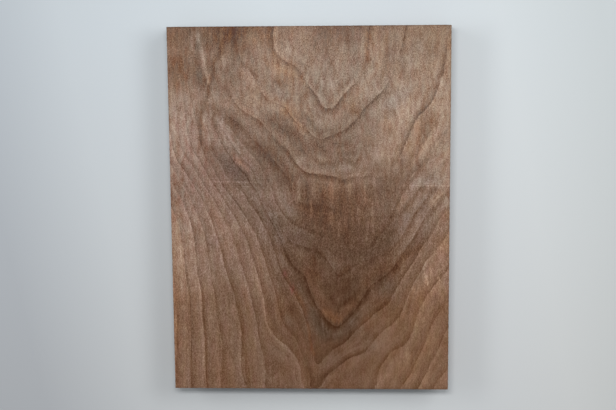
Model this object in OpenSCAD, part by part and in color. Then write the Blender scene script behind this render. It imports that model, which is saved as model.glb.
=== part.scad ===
// A rectangular blank of walnut, sawn and planed square, ready to be turned.
//
// It is one solid piece of wood. It lies on its lower face, with the origin
// in the middle of that face, +Z up and the grain along Y.

/* [Blank] */
// Width, across the grain
blank_w = 304; // [150:1:600]
// Length, along the grain
blank_l = 400; // [200:1:1200]
// Thickness between the two planed faces
blank_t = 50; // [20:1:120]

/* [Edges] */
// Width taken off each of the twelve edges, so that they don't splinter
arris = 0.6; // [0.2:0.1:4]

/* [Hidden] */
wood_colour = "#836654";

// A rectangle about the origin with its four corners cut off at 45 degrees
module eased_rectangle(width, height, cut) {
    x = width / 2;
    y = height / 2;
    polygon([
        [x - cut, -y], [x, -y + cut], [x, y - cut], [x - cut, y],
        [-x + cut, y], [-x, y - cut], [-x, -y + cut], [-x + cut, -y]
    ]);
}

// The cut along the length, seen from the end
module end_section() {
    rotate([90, 0, 0])
        linear_extrude(blank_l, center = true)
            eased_rectangle(blank_w, blank_t, arris);
}

// The cut across the width, seen from the side
module side_section() {
    rotate([90, 0, 90])
        linear_extrude(blank_w, center = true)
            eased_rectangle(blank_l, blank_t, arris);
}

// The outline, seen from above
module face_outline() {
    linear_extrude(blank_t, center = true)
        eased_rectangle(blank_w, blank_l, arris);
}

// What the three outlines share is a block with all its edges eased
module blank() {
    color(wood_colour)
        translate([0, 0, blank_t / 2])
            intersection() {
                end_section();
                side_section();
                face_outline();
            }
}

blank();
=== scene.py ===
# Looks of a planed walnut turning blank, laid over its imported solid.
import math

import bpy
import numpy as np
from mathutils import Matrix, Vector


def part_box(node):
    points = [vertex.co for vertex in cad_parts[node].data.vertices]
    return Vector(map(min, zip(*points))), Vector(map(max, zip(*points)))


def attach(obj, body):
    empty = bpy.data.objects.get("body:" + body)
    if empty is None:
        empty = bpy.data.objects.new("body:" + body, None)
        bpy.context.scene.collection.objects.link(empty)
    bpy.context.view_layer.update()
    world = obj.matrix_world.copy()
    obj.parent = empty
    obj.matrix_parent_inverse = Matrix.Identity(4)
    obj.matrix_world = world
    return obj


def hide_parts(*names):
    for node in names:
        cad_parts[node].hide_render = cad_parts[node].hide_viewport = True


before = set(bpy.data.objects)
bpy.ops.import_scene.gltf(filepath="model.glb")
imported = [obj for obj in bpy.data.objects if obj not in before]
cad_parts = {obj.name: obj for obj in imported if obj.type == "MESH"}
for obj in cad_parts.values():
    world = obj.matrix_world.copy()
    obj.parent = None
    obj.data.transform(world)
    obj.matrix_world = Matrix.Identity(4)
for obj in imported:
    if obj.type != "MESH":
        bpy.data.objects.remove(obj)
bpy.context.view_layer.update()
low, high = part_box("blank")
size = high - low
faceMiddle = Vector(((low.x + high.x) / 2, (low.y + high.y) / 2, high.z))
mm = 0.001  # the dictionaries below give lengths in millimetres
print("frame loaded, blank is", [round(v / mm, 1) for v in size], "mm")


def toLinear(hexColour):
    # sRGB hex to the linear values that a colour socket takes
    channels = [int(hexColour[i:i + 2], 16) / 255 for i in (1, 3, 5)]
    return [c / 12.92 if c <= 0.04045 else ((c + 0.055) / 1.055) ** 2.4 for c in channels] + [1.0]


def addNode(tree, kind, values=None, links=None, stops=None, **settings):
    # values go into sockets, links come from a node's first output or from a named one
    node = tree.nodes.new(kind)
    for name, value in settings.items():
        setattr(node, name, value)
    for socket, value in (values or {}).items():
        node.inputs[socket].default_value = value
    for socket, source in (links or {}).items():
        output = source.outputs[0] if isinstance(source, bpy.types.Node) else source
        tree.links.new(output, node.inputs[socket])
    if stops:
        ramp = node.color_ramp.elements
        while len(ramp) < len(stops):
            ramp.new(1.0)
        for element, (place, colour) in zip(ramp, stops):
            element.position = place
            element.color = toLinear(colour) if isinstance(colour, str) else [colour] * 3 + [1.0]
    return node


def newMaterial(name):
    material = bpy.data.materials.new(name)
    material.use_nodes = True
    material.node_tree.nodes.clear()
    return material


def addItem(name, data):
    item = bpy.data.objects.new(name, data)
    bpy.context.scene.collection.objects.link(item)
    return item


camera = {
    "lens": 68.84,                       # mm
    "sensorWidth": 36,                   # mm
    "turn": (8.58, -2.41, 0.43),         # degrees about X, Y and Z, from straight above the face
    "offset": (1.8, -7.2, -1282.1),      # mm, where the face's middle lies seen from the camera
}


def placeCamera(values):
    data = bpy.data.cameras.new("camera")
    data.lens = values["lens"]
    data.sensor_width = values["sensorWidth"]
    item = addItem("camera", data)
    turns = [Matrix.Rotation(math.radians(a), 3, axis) for a, axis in zip(values["turn"], "XYZ")]
    back = (turns[0] @ turns[1] @ turns[2]).transposed()
    place = faceMiddle - back @ (Vector(values["offset"]) * mm)
    item.matrix_world = Matrix.Translation(place) @ back.to_4x4()
    bpy.context.scene.camera = item
    print("camera placed at", [round(v, 3) for v in place])


placeCamera(camera)

block = {
    "cells": (1.25, 2.4, 2.5),     # mm between the mesh's points, closest across the grain
    "lengths": {                   # mm
        "Arris": 0.8,              # rounding of the twelve edges
        "Planer Pitch": 13.0,      # between the shallow waves that the thicknesser left
        "Planer Depth": 0.03,
        "Snipe Place": 31.0,       # from the middle towards +Y, where the cutter head dipped
        "Snipe Depth": 0.09,
        "Saw Pitch": 6.5,          # between band saw marks on the edges and ends
        "Saw Depth": 0.22,
    },
    "numbers": {
        "Arris Wear": 0.45,        # share by which handling has varied the arris
        "Wear Patches": 70.0,      # patches of that wear in each metre
        "Snipe Slant": -0.021,     # rise of the snipe's line for each mm towards +X
        "Planer Wander": 0.6,      # pitches by which the planer's waves drift
        "Saw Wander": 3.0,         # and those by which the saw's marks do
        "Feed Changes": 25.0,      # changes of feed in each metre, which both drifts follow
        "Seed": 7.0,
    },
}
faceKinds = ("Planed Face", "Sawn Edge", "Sawn End")


def sawnBlockTree(values):
    # a box whose edges are eased and whose faces carry the marks of the planer and the saw
    tree = bpy.data.node_groups.new("sawnBlock", "GeometryNodeTree")
    inputs = {"Vector": ("Size", "Cells"), "Float": (*values["lengths"], *values["numbers"]),
              "Material": faceKinds}
    for kind, names in inputs.items():
        for name in names:
            tree.interface.new_socket(name, in_out="INPUT", socket_type="NodeSocket" + kind)
    tree.interface.new_socket("Geometry", in_out="OUTPUT", socket_type="NodeSocketGeometry")
    given = addNode(tree, "NodeGroupInput").outputs

    # whole cells along each axis
    wanted = addNode(tree, "ShaderNodeVectorMath", links={0: given["Size"], 1: given["Cells"]},
                     operation="DIVIDE")
    rounded = addNode(tree, "ShaderNodeVectorMath", {1: (0.5, 0.5, 0.5)}, {0: wanted}, operation="ADD")
    cells = addNode(tree, "ShaderNodeVectorMath", links={0: rounded}, operation="FLOOR")
    points = addNode(tree, "ShaderNodeVectorMath", {1: (1, 1, 1)}, {0: cells}, operation="ADD")
    counts = addNode(tree, "ShaderNodeSeparateXYZ", links={0: points})
    box = addNode(tree, "GeometryNodeMeshCube", links={
        "Size": given["Size"], "Vertices X": counts.outputs[0],
        "Vertices Y": counts.outputs[1], "Vertices Z": counts.outputs[2]})

    # the outermost row of cells is narrowed to the arris, then its edge is rounded
    place = addNode(tree, "GeometryNodeInputPosition")
    wearNoise = addNode(tree, "ShaderNodeTexNoise", {"Detail": 2.0}, {
        "Vector": place, "W": given["Seed"], "Scale": given["Wear Patches"]}, noise_dimensions="4D")
    wearSwing = addNode(tree, "ShaderNodeMath", {1: 0.5}, {0: wearNoise}, operation="SUBTRACT")
    wearShare = addNode(tree, "ShaderNodeMath", links={0: wearSwing, 1: given["Arris Wear"]},
                        operation="MULTIPLY")
    spread = 4.0  # noise keeps near its middle, so its swing is widened
    wearFactor = addNode(tree, "ShaderNodeMath", {1: spread, 2: 1.0}, {0: wearShare},
                         operation="MULTIPLY_ADD")
    wornArris = addNode(tree, "ShaderNodeMath", links={0: given["Arris"], 1: wearFactor},
                        operation="MULTIPLY")
    half = addNode(tree, "ShaderNodeVectorMath", {"Scale": 0.5}, {0: given["Size"]}, operation="SCALE")
    cell = addNode(tree, "ShaderNodeVectorMath", links={0: given["Size"], 1: cells}, operation="DIVIDE")
    distance = addNode(tree, "ShaderNodeVectorMath", links={0: place}, operation="ABSOLUTE")
    side = addNode(tree, "ShaderNodeVectorMath", links={0: place}, operation="SIGN")
    inset = addNode(tree, "ShaderNodeVectorMath", links={0: half, 1: wornArris}, operation="SUBTRACT")
    lastRow = addNode(tree, "ShaderNodeVectorMath", links={0: half, 1: cell}, operation="SUBTRACT")
    stretch = addNode(tree, "ShaderNodeVectorMath", links={0: inset, 1: lastRow}, operation="DIVIDE")
    inner = addNode(tree, "ShaderNodeVectorMath", links={0: distance, 1: stretch}, operation="MULTIPLY")
    squeeze = addNode(tree, "ShaderNodeVectorMath", links={0: wornArris, 1: cell}, operation="DIVIDE")
    beyond = addNode(tree, "ShaderNodeVectorMath", links={0: distance, 1: half}, operation="SUBTRACT")
    outer = addNode(tree, "ShaderNodeVectorMath", links={0: beyond, 1: squeeze, 2: half},
                    operation="MULTIPLY_ADD")
    moved = addNode(tree, "ShaderNodeVectorMath", links={0: inner, 1: outer}, operation="MINIMUM")
    core = addNode(tree, "ShaderNodeVectorMath", links={0: moved, 1: inset}, operation="MINIMUM")
    rise = addNode(tree, "ShaderNodeVectorMath", links={0: moved, 1: core}, operation="SUBTRACT")
    outward = addNode(tree, "ShaderNodeVectorMath", links={0: rise}, operation="NORMALIZE")
    shell = addNode(tree, "ShaderNodeVectorMath", links={0: outward, 1: wornArris, 2: core},
                    operation="MULTIPLY_ADD")
    eased = addNode(tree, "ShaderNodeVectorMath", links={0: shell, 1: side}, operation="MULTIPLY")
    easedBox = addNode(tree, "GeometryNodeSetPosition", links={"Geometry": box, "Position": eased})

    # how far the tools cut below the true faces, for planed faces and for sawn ones
    place = addNode(tree, "GeometryNodeInputPosition")
    axes = addNode(tree, "ShaderNodeSeparateXYZ", links={0: place})
    normal = addNode(tree, "GeometryNodeInputNormal")
    share = addNode(tree, "ShaderNodeVectorMath", links={0: normal, 1: normal}, operation="MULTIPLY")
    shares = addNode(tree, "ShaderNodeSeparateXYZ", links={0: share})
    feed = addNode(tree, "ShaderNodeTexNoise", {"Detail": 1.0}, {
        "Vector": place, "W": given["Seed"], "Scale": given["Feed Changes"]}, noise_dimensions="4D")

    def cutterWave(along, tool):
        # one shallow hollow for each pitch along the feed, wandering as the feed did
        turn = addNode(tree, "ShaderNodeMath", links={0: along, 1: given[tool + " Pitch"]},
                       operation="DIVIDE")
        bent = addNode(tree, "ShaderNodeMath", links={0: feed, 1: given[tool + " Wander"], 2: turn},
                       operation="MULTIPLY_ADD")
        angle = addNode(tree, "ShaderNodeMath", {1: 2 * math.pi}, {0: bent}, operation="MULTIPLY")
        swing = addNode(tree, "ShaderNodeMath", links={0: angle}, operation="SINE")
        lifted = addNode(tree, "ShaderNodeMath", {1: 0.5, 2: 0.5}, {0: swing}, operation="MULTIPLY_ADD")
        return addNode(tree, "ShaderNodeMath", links={0: lifted, 1: given[tool + " Depth"]},
                       operation="MULTIPLY")

    line = addNode(tree, "ShaderNodeMath", links={
        0: axes.outputs[0], 1: given["Snipe Slant"], 2: given["Snipe Place"]}, operation="MULTIPLY_ADD")
    past = addNode(tree, "ShaderNodeMath", links={0: axes.outputs[1], 1: line}, operation="GREATER_THAN")
    snipe = addNode(tree, "ShaderNodeMath", links={0: past, 1: given["Snipe Depth"]}, operation="MULTIPLY")
    planed = addNode(tree, "ShaderNodeMath", links={0: snipe, 1: cutterWave(axes.outputs[1], "Planer")},
                     operation="ADD")
    cut = addNode(tree, "ShaderNodeMath", links={0: shares.outputs[2], 1: planed}, operation="MULTIPLY")
    for axis, along in ((0, 1), (1, 0)):
        sawn = cutterWave(axes.outputs[along], "Saw")
        cut = addNode(tree, "ShaderNodeMath", links={0: shares.outputs[axis], 1: sawn, 2: cut},
                      operation="MULTIPLY_ADD")
    inward = addNode(tree, "ShaderNodeMath", {1: -1.0}, {0: cut}, operation="MULTIPLY")
    offset = addNode(tree, "ShaderNodeVectorMath", links={0: normal, "Scale": inward}, operation="SCALE")
    marked = addNode(tree, "GeometryNodeSetPosition", links={"Geometry": easedBox, "Offset": offset})

    # flat faces are smooth, the facets of the arris are not
    flatShare, ownShare = 0.97, 0.75  # how squarely a face looks along an axis to be flat, and to be its own
    flatness = addNode(tree, "ShaderNodeVectorMath", links={0: normal}, operation="ABSOLUTE")
    facing = addNode(tree, "ShaderNodeSeparateXYZ", links={0: flatness})
    largest = addNode(tree, "ShaderNodeMath", links={0: facing.outputs[0], 1: facing.outputs[1]},
                      operation="MAXIMUM")
    largest = addNode(tree, "ShaderNodeMath", links={0: largest, 1: facing.outputs[2]}, operation="MAXIMUM")
    isFlat = addNode(tree, "ShaderNodeMath", {1: flatShare}, {0: largest}, operation="GREATER_THAN")
    hard = addNode(tree, "GeometryNodeSetShadeSmooth", {"Shade Smooth": False}, {"Geometry": marked})
    soft = addNode(tree, "GeometryNodeSetShadeSmooth", {"Shade Smooth": True},
                   {"Geometry": hard, "Selection": isFlat})

    real = addNode(tree, "GeometryNodeRealizeInstances", links={0: soft})
    dressed = addNode(tree, "GeometryNodeSetMaterial", links={
        "Geometry": real, "Material": given[faceKinds[0]]})
    for axis, name in enumerate(faceKinds[1:]):
        chosen = addNode(tree, "ShaderNodeMath", {1: ownShare}, {0: facing.outputs[axis]},
                         operation="GREATER_THAN")
        dressed = addNode(tree, "GeometryNodeSetMaterial", links={
            "Geometry": dressed, "Selection": chosen, "Material": given[name]})
    addNode(tree, "NodeGroupOutput", links={0: dressed})
    return tree


def makeBlock(values, materials):
    tree = sawnBlockTree(values)
    carrier = addItem("carrier", bpy.data.meshes.new("carrier"))
    modifier = carrier.modifiers.new("sawnBlock", "NODES")
    modifier.node_group = tree
    wanted = {"Size": size, "Cells": Vector(values["cells"]) * mm, **values["numbers"]}
    wanted.update((name, length * mm) for name, length in values["lengths"].items())
    wanted.update(zip(faceKinds, materials))
    for socket in tree.interface.items_tree:
        if socket.in_out == "INPUT":
            modifier[socket.identifier] = wanted[socket.name]
    evaluated = carrier.evaluated_get(bpy.context.evaluated_depsgraph_get())
    mesh = bpy.data.meshes.new_from_object(evaluated)
    bpy.data.objects.remove(carrier)
    mesh.transform(Matrix.Translation((low + high) / 2))
    mesh.name = "planedBlank"
    item = addItem("planedBlank", mesh)
    print("block made:", len(mesh.vertices), "points,", len(mesh.polygons), "faces")
    return item


# Growth rings and stains are kept as attributes of the block's points. Places on the face are mm across and
# along the grain, from its left lower corner.
figure = {
    "ringWidth": 5.5,    # mm through the thickness
    "smoothing": 8.0,    # how loosely the rings follow the points below
    "lineReach": 14.0,   # mm on the face over which one ring's line fades, less where rings lie closer
    "ragged": 1.3,       # mm by which marks end unevenly, because fibres do
    "raggedSeed": 5,
    "strokeEdge": 1.6,   # how sharply a stroke ends at its sides
    "strokeDepth": 15,   # how many times a stroke's depth goes into the thickness
    "strokeLimit": 0.2,  # tone at which dark strokes that lie over each other level off
    "washBoost": 0.35,   # strokes are put on stronger where the sheen washes them out,
    "washStart": 180,    # from here along the grain
    "washEnd": 240,      # and in full from here
    # Flat sawn: each line is where one ring of the tree meets the upper face, and rings count outwards
    # from the tree's middle.
    "ringLines": {
        0.3: [(165, 395), (150, 375), (190, 380)],
        1: [(115, 400), (115, 385), (118, 373), (122, 367), (131, 361), (138, 358), (143, 352), (150, 340),
            (158, 330), (164, 320), (168, 314), (173, 312), (178, 314), (183, 320), (190, 328), (200, 338),
            (208, 347), (212, 360), (214, 380), (216, 400)],
        2: [(76, 400), (76, 375), (82, 363), (88, 356), (94, 346), (99, 335), (105, 325), (113, 320),
            (122, 317), (130, 310), (136, 301), (143, 295), (150, 290), (156, 283), (164, 280), (173, 282),
            (183, 286), (192, 290), (198, 295), (204, 303), (210, 311), (218, 318), (226, 327), (234, 336),
            (241, 348), (246, 362), (252, 385), (256, 400)],
        3: [(58, 400), (58, 370), (62, 350), (67, 332), (73, 318), (84, 308), (98, 300), (107, 290),
            (114, 281), (121, 273), (129, 266), (135, 257), (140, 250), (147, 244), (158, 242), (172, 240),
            (182, 238), (190, 235), (197, 238), (210, 241), (224, 240), (238, 244), (250, 262), (258, 282),
            (266, 300), (275, 310), (282, 318), (289, 333), (294, 348), (297, 370), (301, 400)],
        4: [(50, 400), (51, 350), (55, 325), (63, 309), (77, 296), (90, 280), (104, 267), (119, 250),
            (130, 237), (137, 222), (141, 211), (150, 208), (165, 208), (178, 204), (190, 199), (205, 196),
            (222, 194), (236, 200), (244, 210), (250, 222), (256, 232), (262, 240), (270, 247), (276, 256),
            (283, 268), (291, 279), (304, 292)],
        5: [(44, 400), (46, 350), (50, 324), (58, 304), (72, 285), (88, 265), (104, 240), (113, 217),
            (121, 200), (130, 190), (138, 184), (150, 179), (168, 172), (188, 166), (205, 161), (215, 158),
            (224, 168), (234, 180), (246, 196), (256, 210), (266, 224), (276, 234), (290, 248), (304, 262)],
        6: [(38, 400), (41, 350), (45, 318), (53, 298), (66, 278), (80, 257), (95, 232), (106, 210),
            (115, 192), (122, 178), (130, 168), (140, 163), (150, 160), (160, 156), (168, 150), (176, 138),
            (186, 130), (196, 137), (208, 145), (222, 150), (236, 156), (250, 168), (262, 188), (272, 205),
            (282, 218), (293, 230), (304, 242)],
        7: [(32, 400), (35, 350), (40, 317), (48, 300), (53, 286), (60, 272), (68, 259), (76, 249),
            (85, 239), (93, 226), (101, 210), (108, 195), (114, 183), (119, 173), (123, 162), (127, 150),
            (133, 141), (140, 134), (146, 127), (150, 116), (154, 104), (160, 93), (166, 84), (173, 76),
            (180, 71), (187, 75), (194, 82), (202, 92), (209, 103), (216, 114), (224, 122), (232, 128),
            (242, 136), (249, 146), (257, 160), (266, 173), (273, 186), (281, 200), (290, 213), (304, 228)],
        8: [(48, 264), (60, 243), (69, 230), (86, 209), (101, 187), (108, 170), (115, 148), (121, 132),
            (134, 111), (144, 90), (151, 66), (155, 46), (159, 29), (166, 35), (184, 50), (202, 67),
            (222, 86), (238, 98), (254, 128), (268, 149), (286, 177), (304, 203)],
        9: [(39, 260), (48, 248), (68, 215), (86, 187), (97, 163), (105, 138), (111, 118), (117, 92),
            (127, 68), (142, 40), (151, 2), (160, 2), (170, 17), (193, 35), (215, 46), (232, 68), (252, 88),
            (263, 118), (278, 145), (304, 182)],
        10: [(20, 290), (33, 257), (48, 229), (66, 201), (82, 171), (92, 140), (100, 108), (104, 78),
            (113, 60), (126, 50), (137, 35), (141, 22), (146, 0), (222, 0), (228, 25), (242, 43), (260, 56),
            (270, 88), (286, 116), (304, 138)],
        11: [(10, 290), (16, 264), (33, 237), (48, 213), (62, 185), (74, 153), (84, 118), (92, 80),
            (98, 45), (101, 22), (102, 0), (250, 0), (262, 17), (274, 44), (290, 82), (304, 101)],
        12: [(2, 285), (9, 256), (24, 232), (38, 204), (49, 177), (57, 145), (67, 112), (76, 65), (82, 0),
            (271, 2), (281, 23), (291, 43), (304, 73)],
        13: [(2, 252), (14, 230), (27, 202), (38, 167), (44, 120), (48, 80), (52, 0), (286, 0), (304, 26)],
        14: [(2, 232), (12, 215), (21, 192), (27, 150), (32, 110), (35, 60), (36, 0)],
        15: [(1, 205), (11, 173), (15, 132), (19, 85), (18, 0)],
        16: [(2, 120), (4, 70), (2, 0)],
    },
    # below zero the dark side of the line faces outwards
    "ringBoldness": {0: -0.4, 1: -1.5, 2: -1.5, 3: -1.35, 4: -0.6, 5: 0.5, 6: -0.8, 7: -1.0, 8: 0.75, 9: 0.75,
                     10: 0.75, 11: 0.6, 12: 0.8, 13: 0.6, 14: 0.8, 15: 0.7, 16: 0.7},
    # Soft patches, by what they add to. Each is its middle across and along, half width and half height,
    # degrees turned, and how much is added at the middle.
    "patches": {
        "tone": [  # darker below zero
            (152, 400, 400, 4, 0, -0.06), (66, 257, 16, 12, 0, 0.045), (130, 313, 60, 6, 0, 0.035),
            (24, 195, 26, 9, 0, 0.035), (26, 382, 12, 8, 0, -0.045), (175, 90, 24, 12, 0, -0.03),
            (234, 160, 12, 16, 0, -0.035), (174, 174, 10, 12, 0, 0.035), (160, 380, 220, 110, 0, -0.015),
            (78, 394, 36, 16, 0, -0.18), (150, 60, 400, 150, 0, -0.018), (14, 232, 22, 40, 0, -0.03),
            (124.5, 130, 2.6, 4.5, 10, 0.03), (132, 114, 2.6, 5.5, 20, 0.03), (180, 140, 26, 16, 0, 0.035),
            (178, 64, 26, 9, 0, 0.05), (184, 390, 44, 20, 0, -0.16), (12, 352, 26, 18, 0, -0.12),
            (52, 350, 22, 20, 0, -0.07), (125, 345, 12, 6, -10, -0.08), (180, 345, 50, 26, 0, -0.05),
            (184, 305, 44, 12, 0, -0.08), (135, 295, 12, 18, 35, -0.08), (180, 275, 36, 16, 0, -0.06),
            (104, 262, 20, 18, -40, -0.08), (88, 236, 26, 9, -45, -0.1), (236, 172, 13, 20, 10, -0.08),
            (222, 118, 34, 12, 42, -0.12), (200, 98, 14, 14, 40, -0.1), (150, 98, 7, 20, 25, -0.08),
            (118, 165, 14, 30, 20, -0.06), (150, 30, 16, 30, 0, -0.06), (298, 215, 10, 60, 0, 0.06),
            (298, 110, 10, 50, 0, 0.05), (0, 130, 10, 150, 0, 0.05), (80, 398, 40, 14, 0, -0.06),
            (184, 398, 22, 10, 0, -0.06), (160, 380, 200, 60, 0, 0.02), (8, 396, 26, 10, 0, -0.08),
            (88, 376, 9, 16, 0, -0.07), (24, 312, 9, 16, 0, 0.09), (8, 292, 12, 18, 0, 0.05),
            (211, 340, 8, 18, -20, 0.08), (298, 325, 8, 22, 0, 0.08), (296, 292, 9, 16, -30, 0.07),
            (294, 228, 12, 20, -30, 0.07), (248, 282, 9, 12, 0, 0.07), (222, 264, 14, 10, 0, 0.06),
            (200, 234, 9, 8, 0, 0.07), (216, 150, 13, 12, 0, -0.08), (238, 176, 12, 18, -20, -0.07),
            (228, 132, 12, 10, 0, -0.04), (120, 122, 10, 16, 10, -0.07), (134, 88, 7, 12, 10, -0.06),
            (172, 24, 22, 9, 35, -0.05), (244, 40, 26, 5, 48, -0.08), (282, 26, 9, 16, -30, 0.08),
            (298, 152, 9, 16, 0, 0.09), (284, 96, 8, 18, -30, 0.07), (50, 176, 14, 22, 0, 0.07),
            (6, 60, 9, 34, 0, 0.06), (26, 134, 9, 16, 0, 0.05), (74, 297, 10, 6, -40, -0.07),
            (152, 134, 9, 14, 0, -0.06), (170, 88, 10, 8, 0, -0.04), (254, 312, 16, 18, 0, 0.14),
            (236, 268, 18, 16, 0, 0.1), (282, 272, 8, 26, -35, 0.1), (298, 262, 8, 30, -35, 0.12),
            (205, 243, 32, 7, 0, 0.07), (92, 316, 16, 12, -35, 0.07), (0, 300, 12, 30, 0, 0.14),
            (24, 278, 8, 26, 10, 0.12), (62, 282, 7, 10, 20, 0.03), (130, 372, 12, 8, 0, 0.07),
            (172, 330, 10, 14, 0, 0.05), (2, 218, 9, 16, 0, -0.09), (72, 392, 12, 8, 0, -0.08),
            (8, 140, 12, 40, 0, 0.06), (95, 115, 9, 30, -10, 0.07), (182, 72, 22, 10, 0, -0.06),
            (156, 190, 14, 20, 0, -0.06), (190, 170, 46, 50, 0, -0.08), (178, 60, 26, 14, 0, -0.14),
            (236, 270, 18, 18, 0, 0.1), (170, 0, 60, 6, 0, -0.04), (248, 300, 14, 16, 0, 0.06),
            (48, 180, 26, 22, -30, 0.08), (30, 135, 34, 24, 0, 0.06), (285, 125, 20, 24, -30, 0.09),
            (255, 28, 16, 14, -30, 0.07), (95, 268, 10, 24, 40, -0.06), (134, 287, 9, 12, 40, -0.09),
            (184, 318, 22, 8, 0, -0.05), (175, 140, 62, 110, 0, -0.17), (158, 200, 18, 9, 0, -0.05),
            (182, 216, 42, 18, 0, -0.08), (205, 200, 30, 26, 0, -0.02), (188, 120, 20, 28, 0, -0.08),
            (165, 345, 42, 42, 0, 0.05), (172, 297, 20, 8, 0, 0.06), (182, 271, 24, 9, 0, -0.06),
            (180, 247, 26, 5, 0, 0.06), (232, 314, 22, 11, 45, 0.06), (130, 352, 16, 7, -25, 0.04),
            (125, 325, 13, 9, -20, 0.03), (140, 293, 8, 6, -45, 0.06), (10, 372, 14, 30, 0, -0.11),
            (71, 384, 7, 17, 0, -0.08), (61, 390, 5, 11, 0, -0.07), (66, 248, 17, 8, -45, -0.09),
            (76, 254, 5, 4, -45, 0.06), (120, 294, 16, 8, -40, -0.08), (121, 250, 9, 24, 40, -0.03),
            (120, 214, 8, 22, 28, 0.09), (248, 245, 14, 30, 0, -0.03), (232, 225, 16, 16, 0, -0.07),
            (283, 300, 7, 6, 0, -0.07), (286, 317, 6, 7, 0, 0.05), (268, 388, 10, 12, 0, -0.03),
            (285, 235, 18, 6, 0, 0.05), (198, 382, 5, 15, 0, -0.06), (12, 230, 16, 100, 0, 0.06),
            (238, 136, 8, 7, 30, -0.05), (294, 165, 14, 12, 0, 0.05), (158, 75, 9, 22, 25, -0.03),
            (140, 118, 5, 18, 30, -0.03), (182, 33, 24, 10, 25, 0.03), (122, 86, 12, 20, 25, -0.04),
        ],
        "warmth": [  # greyer below zero
            (160, 330, 230, 110, 0, 0.1), (160, 380, 220, 110, 0, -0.055), (180, 180, 45, 70, 0, 0.7),
            (90, 200, 50, 60, 0, -0.35), (255, 200, 30, 40, 30, -0.4), (78, 394, 36, 16, 0, 0.1),
            (185, 178, 58, 60, 0, -0.35), (150, 60, 400, 150, 0, 0.055), (14, 232, 22, 40, 0, 0.2),
            (124.5, 130, 2.6, 4.5, 10, 0.7), (132, 114, 2.6, 5.5, 20, 0.9), (153, 48, 1.4, 11, -12, 0.3),
            (70, 246, 14, 11, 0, -0.25), (45, 35, 40, 40, 0, -0.18), (50, 136, 40, 14, 0, -0.2),
            (190, 112, 55, 50, 0, -0.15), (280, 170, 10, 20, -30, -0.3), (150, 398, 160, 8, 0, -0.2),
            (118, 312, 34, 22, 0, 0.25), (268, 276, 30, 34, 0, 0.25), (22, 90, 8, 110, 0, 0.15),
            (0, 130, 10, 150, 0, 0.5), (80, 398, 40, 14, 0, 0.6), (225, 398, 26, 12, 0, 0.5),
            (184, 398, 22, 10, 0, 0.35), (160, 380, 200, 60, 0, 0.25), (80, 400, 50, 16, 0, 0.5),
            (6, 200, 12, 220, 0, 0.3), (185, 150, 62, 70, 0, -0.85), (275, 90, 40, 110, 0, 0.3),
            (172, 64, 26, 12, 0, -0.3), (112, 215, 24, 34, 20, -0.35), (278, 212, 26, 40, -20, -0.45),
            (172, 262, 34, 16, 0, -0.25), (62, 282, 16, 36, 10, -0.35), (174, 208, 26, 24, 0, 0.3),
            (6, 360, 14, 24, 0, 0.35), (304, 180, 40, 200, 0, 0.25), (150, 400, 200, 60, 0, 0.35),
            (180, 200, 40, 40, 0, 0.25), (8, 352, 22, 18, 0, 0.4), (130, 350, 26, 30, 0, 0.35),
            (290, 380, 30, 30, 0, 0.3), (82, 322, 14, 14, 0, 0.35), (130, 312, 12, 10, 0, 0.3),
            (304, 290, 40, 110, 0, 0.2), (158, 200, 18, 9, 0, 0.2), (182, 216, 42, 18, 0, 0.15),
            (205, 200, 30, 26, 0, 0.1), (165, 345, 42, 42, 0, -0.3), (172, 297, 20, 8, 0, -0.35),
            (182, 271, 24, 9, 0, 0.1), (180, 247, 26, 5, 0, -0.35), (232, 314, 22, 11, 45, -0.35),
            (130, 352, 16, 7, -25, 0.25), (125, 325, 13, 9, -20, -0.3), (140, 293, 8, 6, -45, 0.4),
            (10, 372, 14, 30, 0, 0.3), (61, 390, 5, 11, 0, 0.2), (66, 248, 17, 8, -45, -0.4),
            (76, 254, 5, 4, -45, 0.4), (120, 294, 16, 8, -40, -0.1), (121, 250, 9, 24, 40, 0.1),
            (120, 214, 8, 22, 28, -0.15), (248, 245, 14, 30, 0, 0.1), (232, 225, 16, 16, 0, 0.1),
            (283, 300, 7, 6, 0, 0.2), (286, 317, 6, 7, 0, 0.2), (268, 388, 10, 12, 0, -0.3),
            (285, 235, 18, 6, 0, -0.5), (198, 382, 5, 15, 0, -0.2), (12, 230, 16, 100, 0, -0.1),
            (234, 116, 13, 11, 0, -0.5), (238, 136, 8, 7, 30, 0.5), (215, 78, 7, 8, 0, 0.4),
            (294, 165, 14, 12, 0, 0.3), (158, 75, 9, 22, 25, -0.4), (140, 118, 5, 18, 30, -0.4),
            (182, 33, 24, 10, 25, -0.15), (122, 86, 12, 20, 25, 0.2), (60, 40, 80, 60, 0, 0.15),
            (240, 60, 80, 70, 0, 0.15),
        ],
        "rose": [  # greener below zero
            (8, 245, 46, 70, 0, 0.35), (70, 270, 70, 70, 0, 0.12), (80, 60, 60, 60, 0, -0.12),
            (255, 50, 60, 90, 0, -0.14), (275, 385, 50, 30, 0, -0.2), (66, 392, 24, 12, 0, -0.3),
            (124.5, 130, 2.6, 4.5, 10, 1), (132, 114, 2.6, 5.5, 20, 1), (153, 48, 1.4, 11, -12, 0.4),
            (70, 246, 14, 11, 0, 0.35),
        ],
        "paintedSheen": [  # painted sheen of dipping fibres: paler, greyer colour, most over the far half and along the left edge
            (160, 330, 230, 110, 0, 0.088), (0, 220, 34, 110, 0, 0.08), (304, 290, 40, 110, 0, 0.03),
        ],
        "bold": [  # boldness of the rings
            (118, 278, 22, 10, -42, -0.45), (95, 220, 5, 16, 28, -0.45), (122, 314, 16, 9, -30, -0.5),
            (92, 347, 9, 17, 30, -1.45), (126, 76, 8, 22, 25, -0.5), (239, 159, 5, 14, -54, -0.7),
            (43, 261, 5, 14, 35, -0.6), (124, 268, 8, 16, 40, -0.3), (140, 44, 6, 18, 20, -0.45),
            (147, 24, 6, 26, -8, -0.8), (152, 56, 6, 26, 8, -0.6), (246, 46, 16, 12, 40, -0.35),
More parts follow.
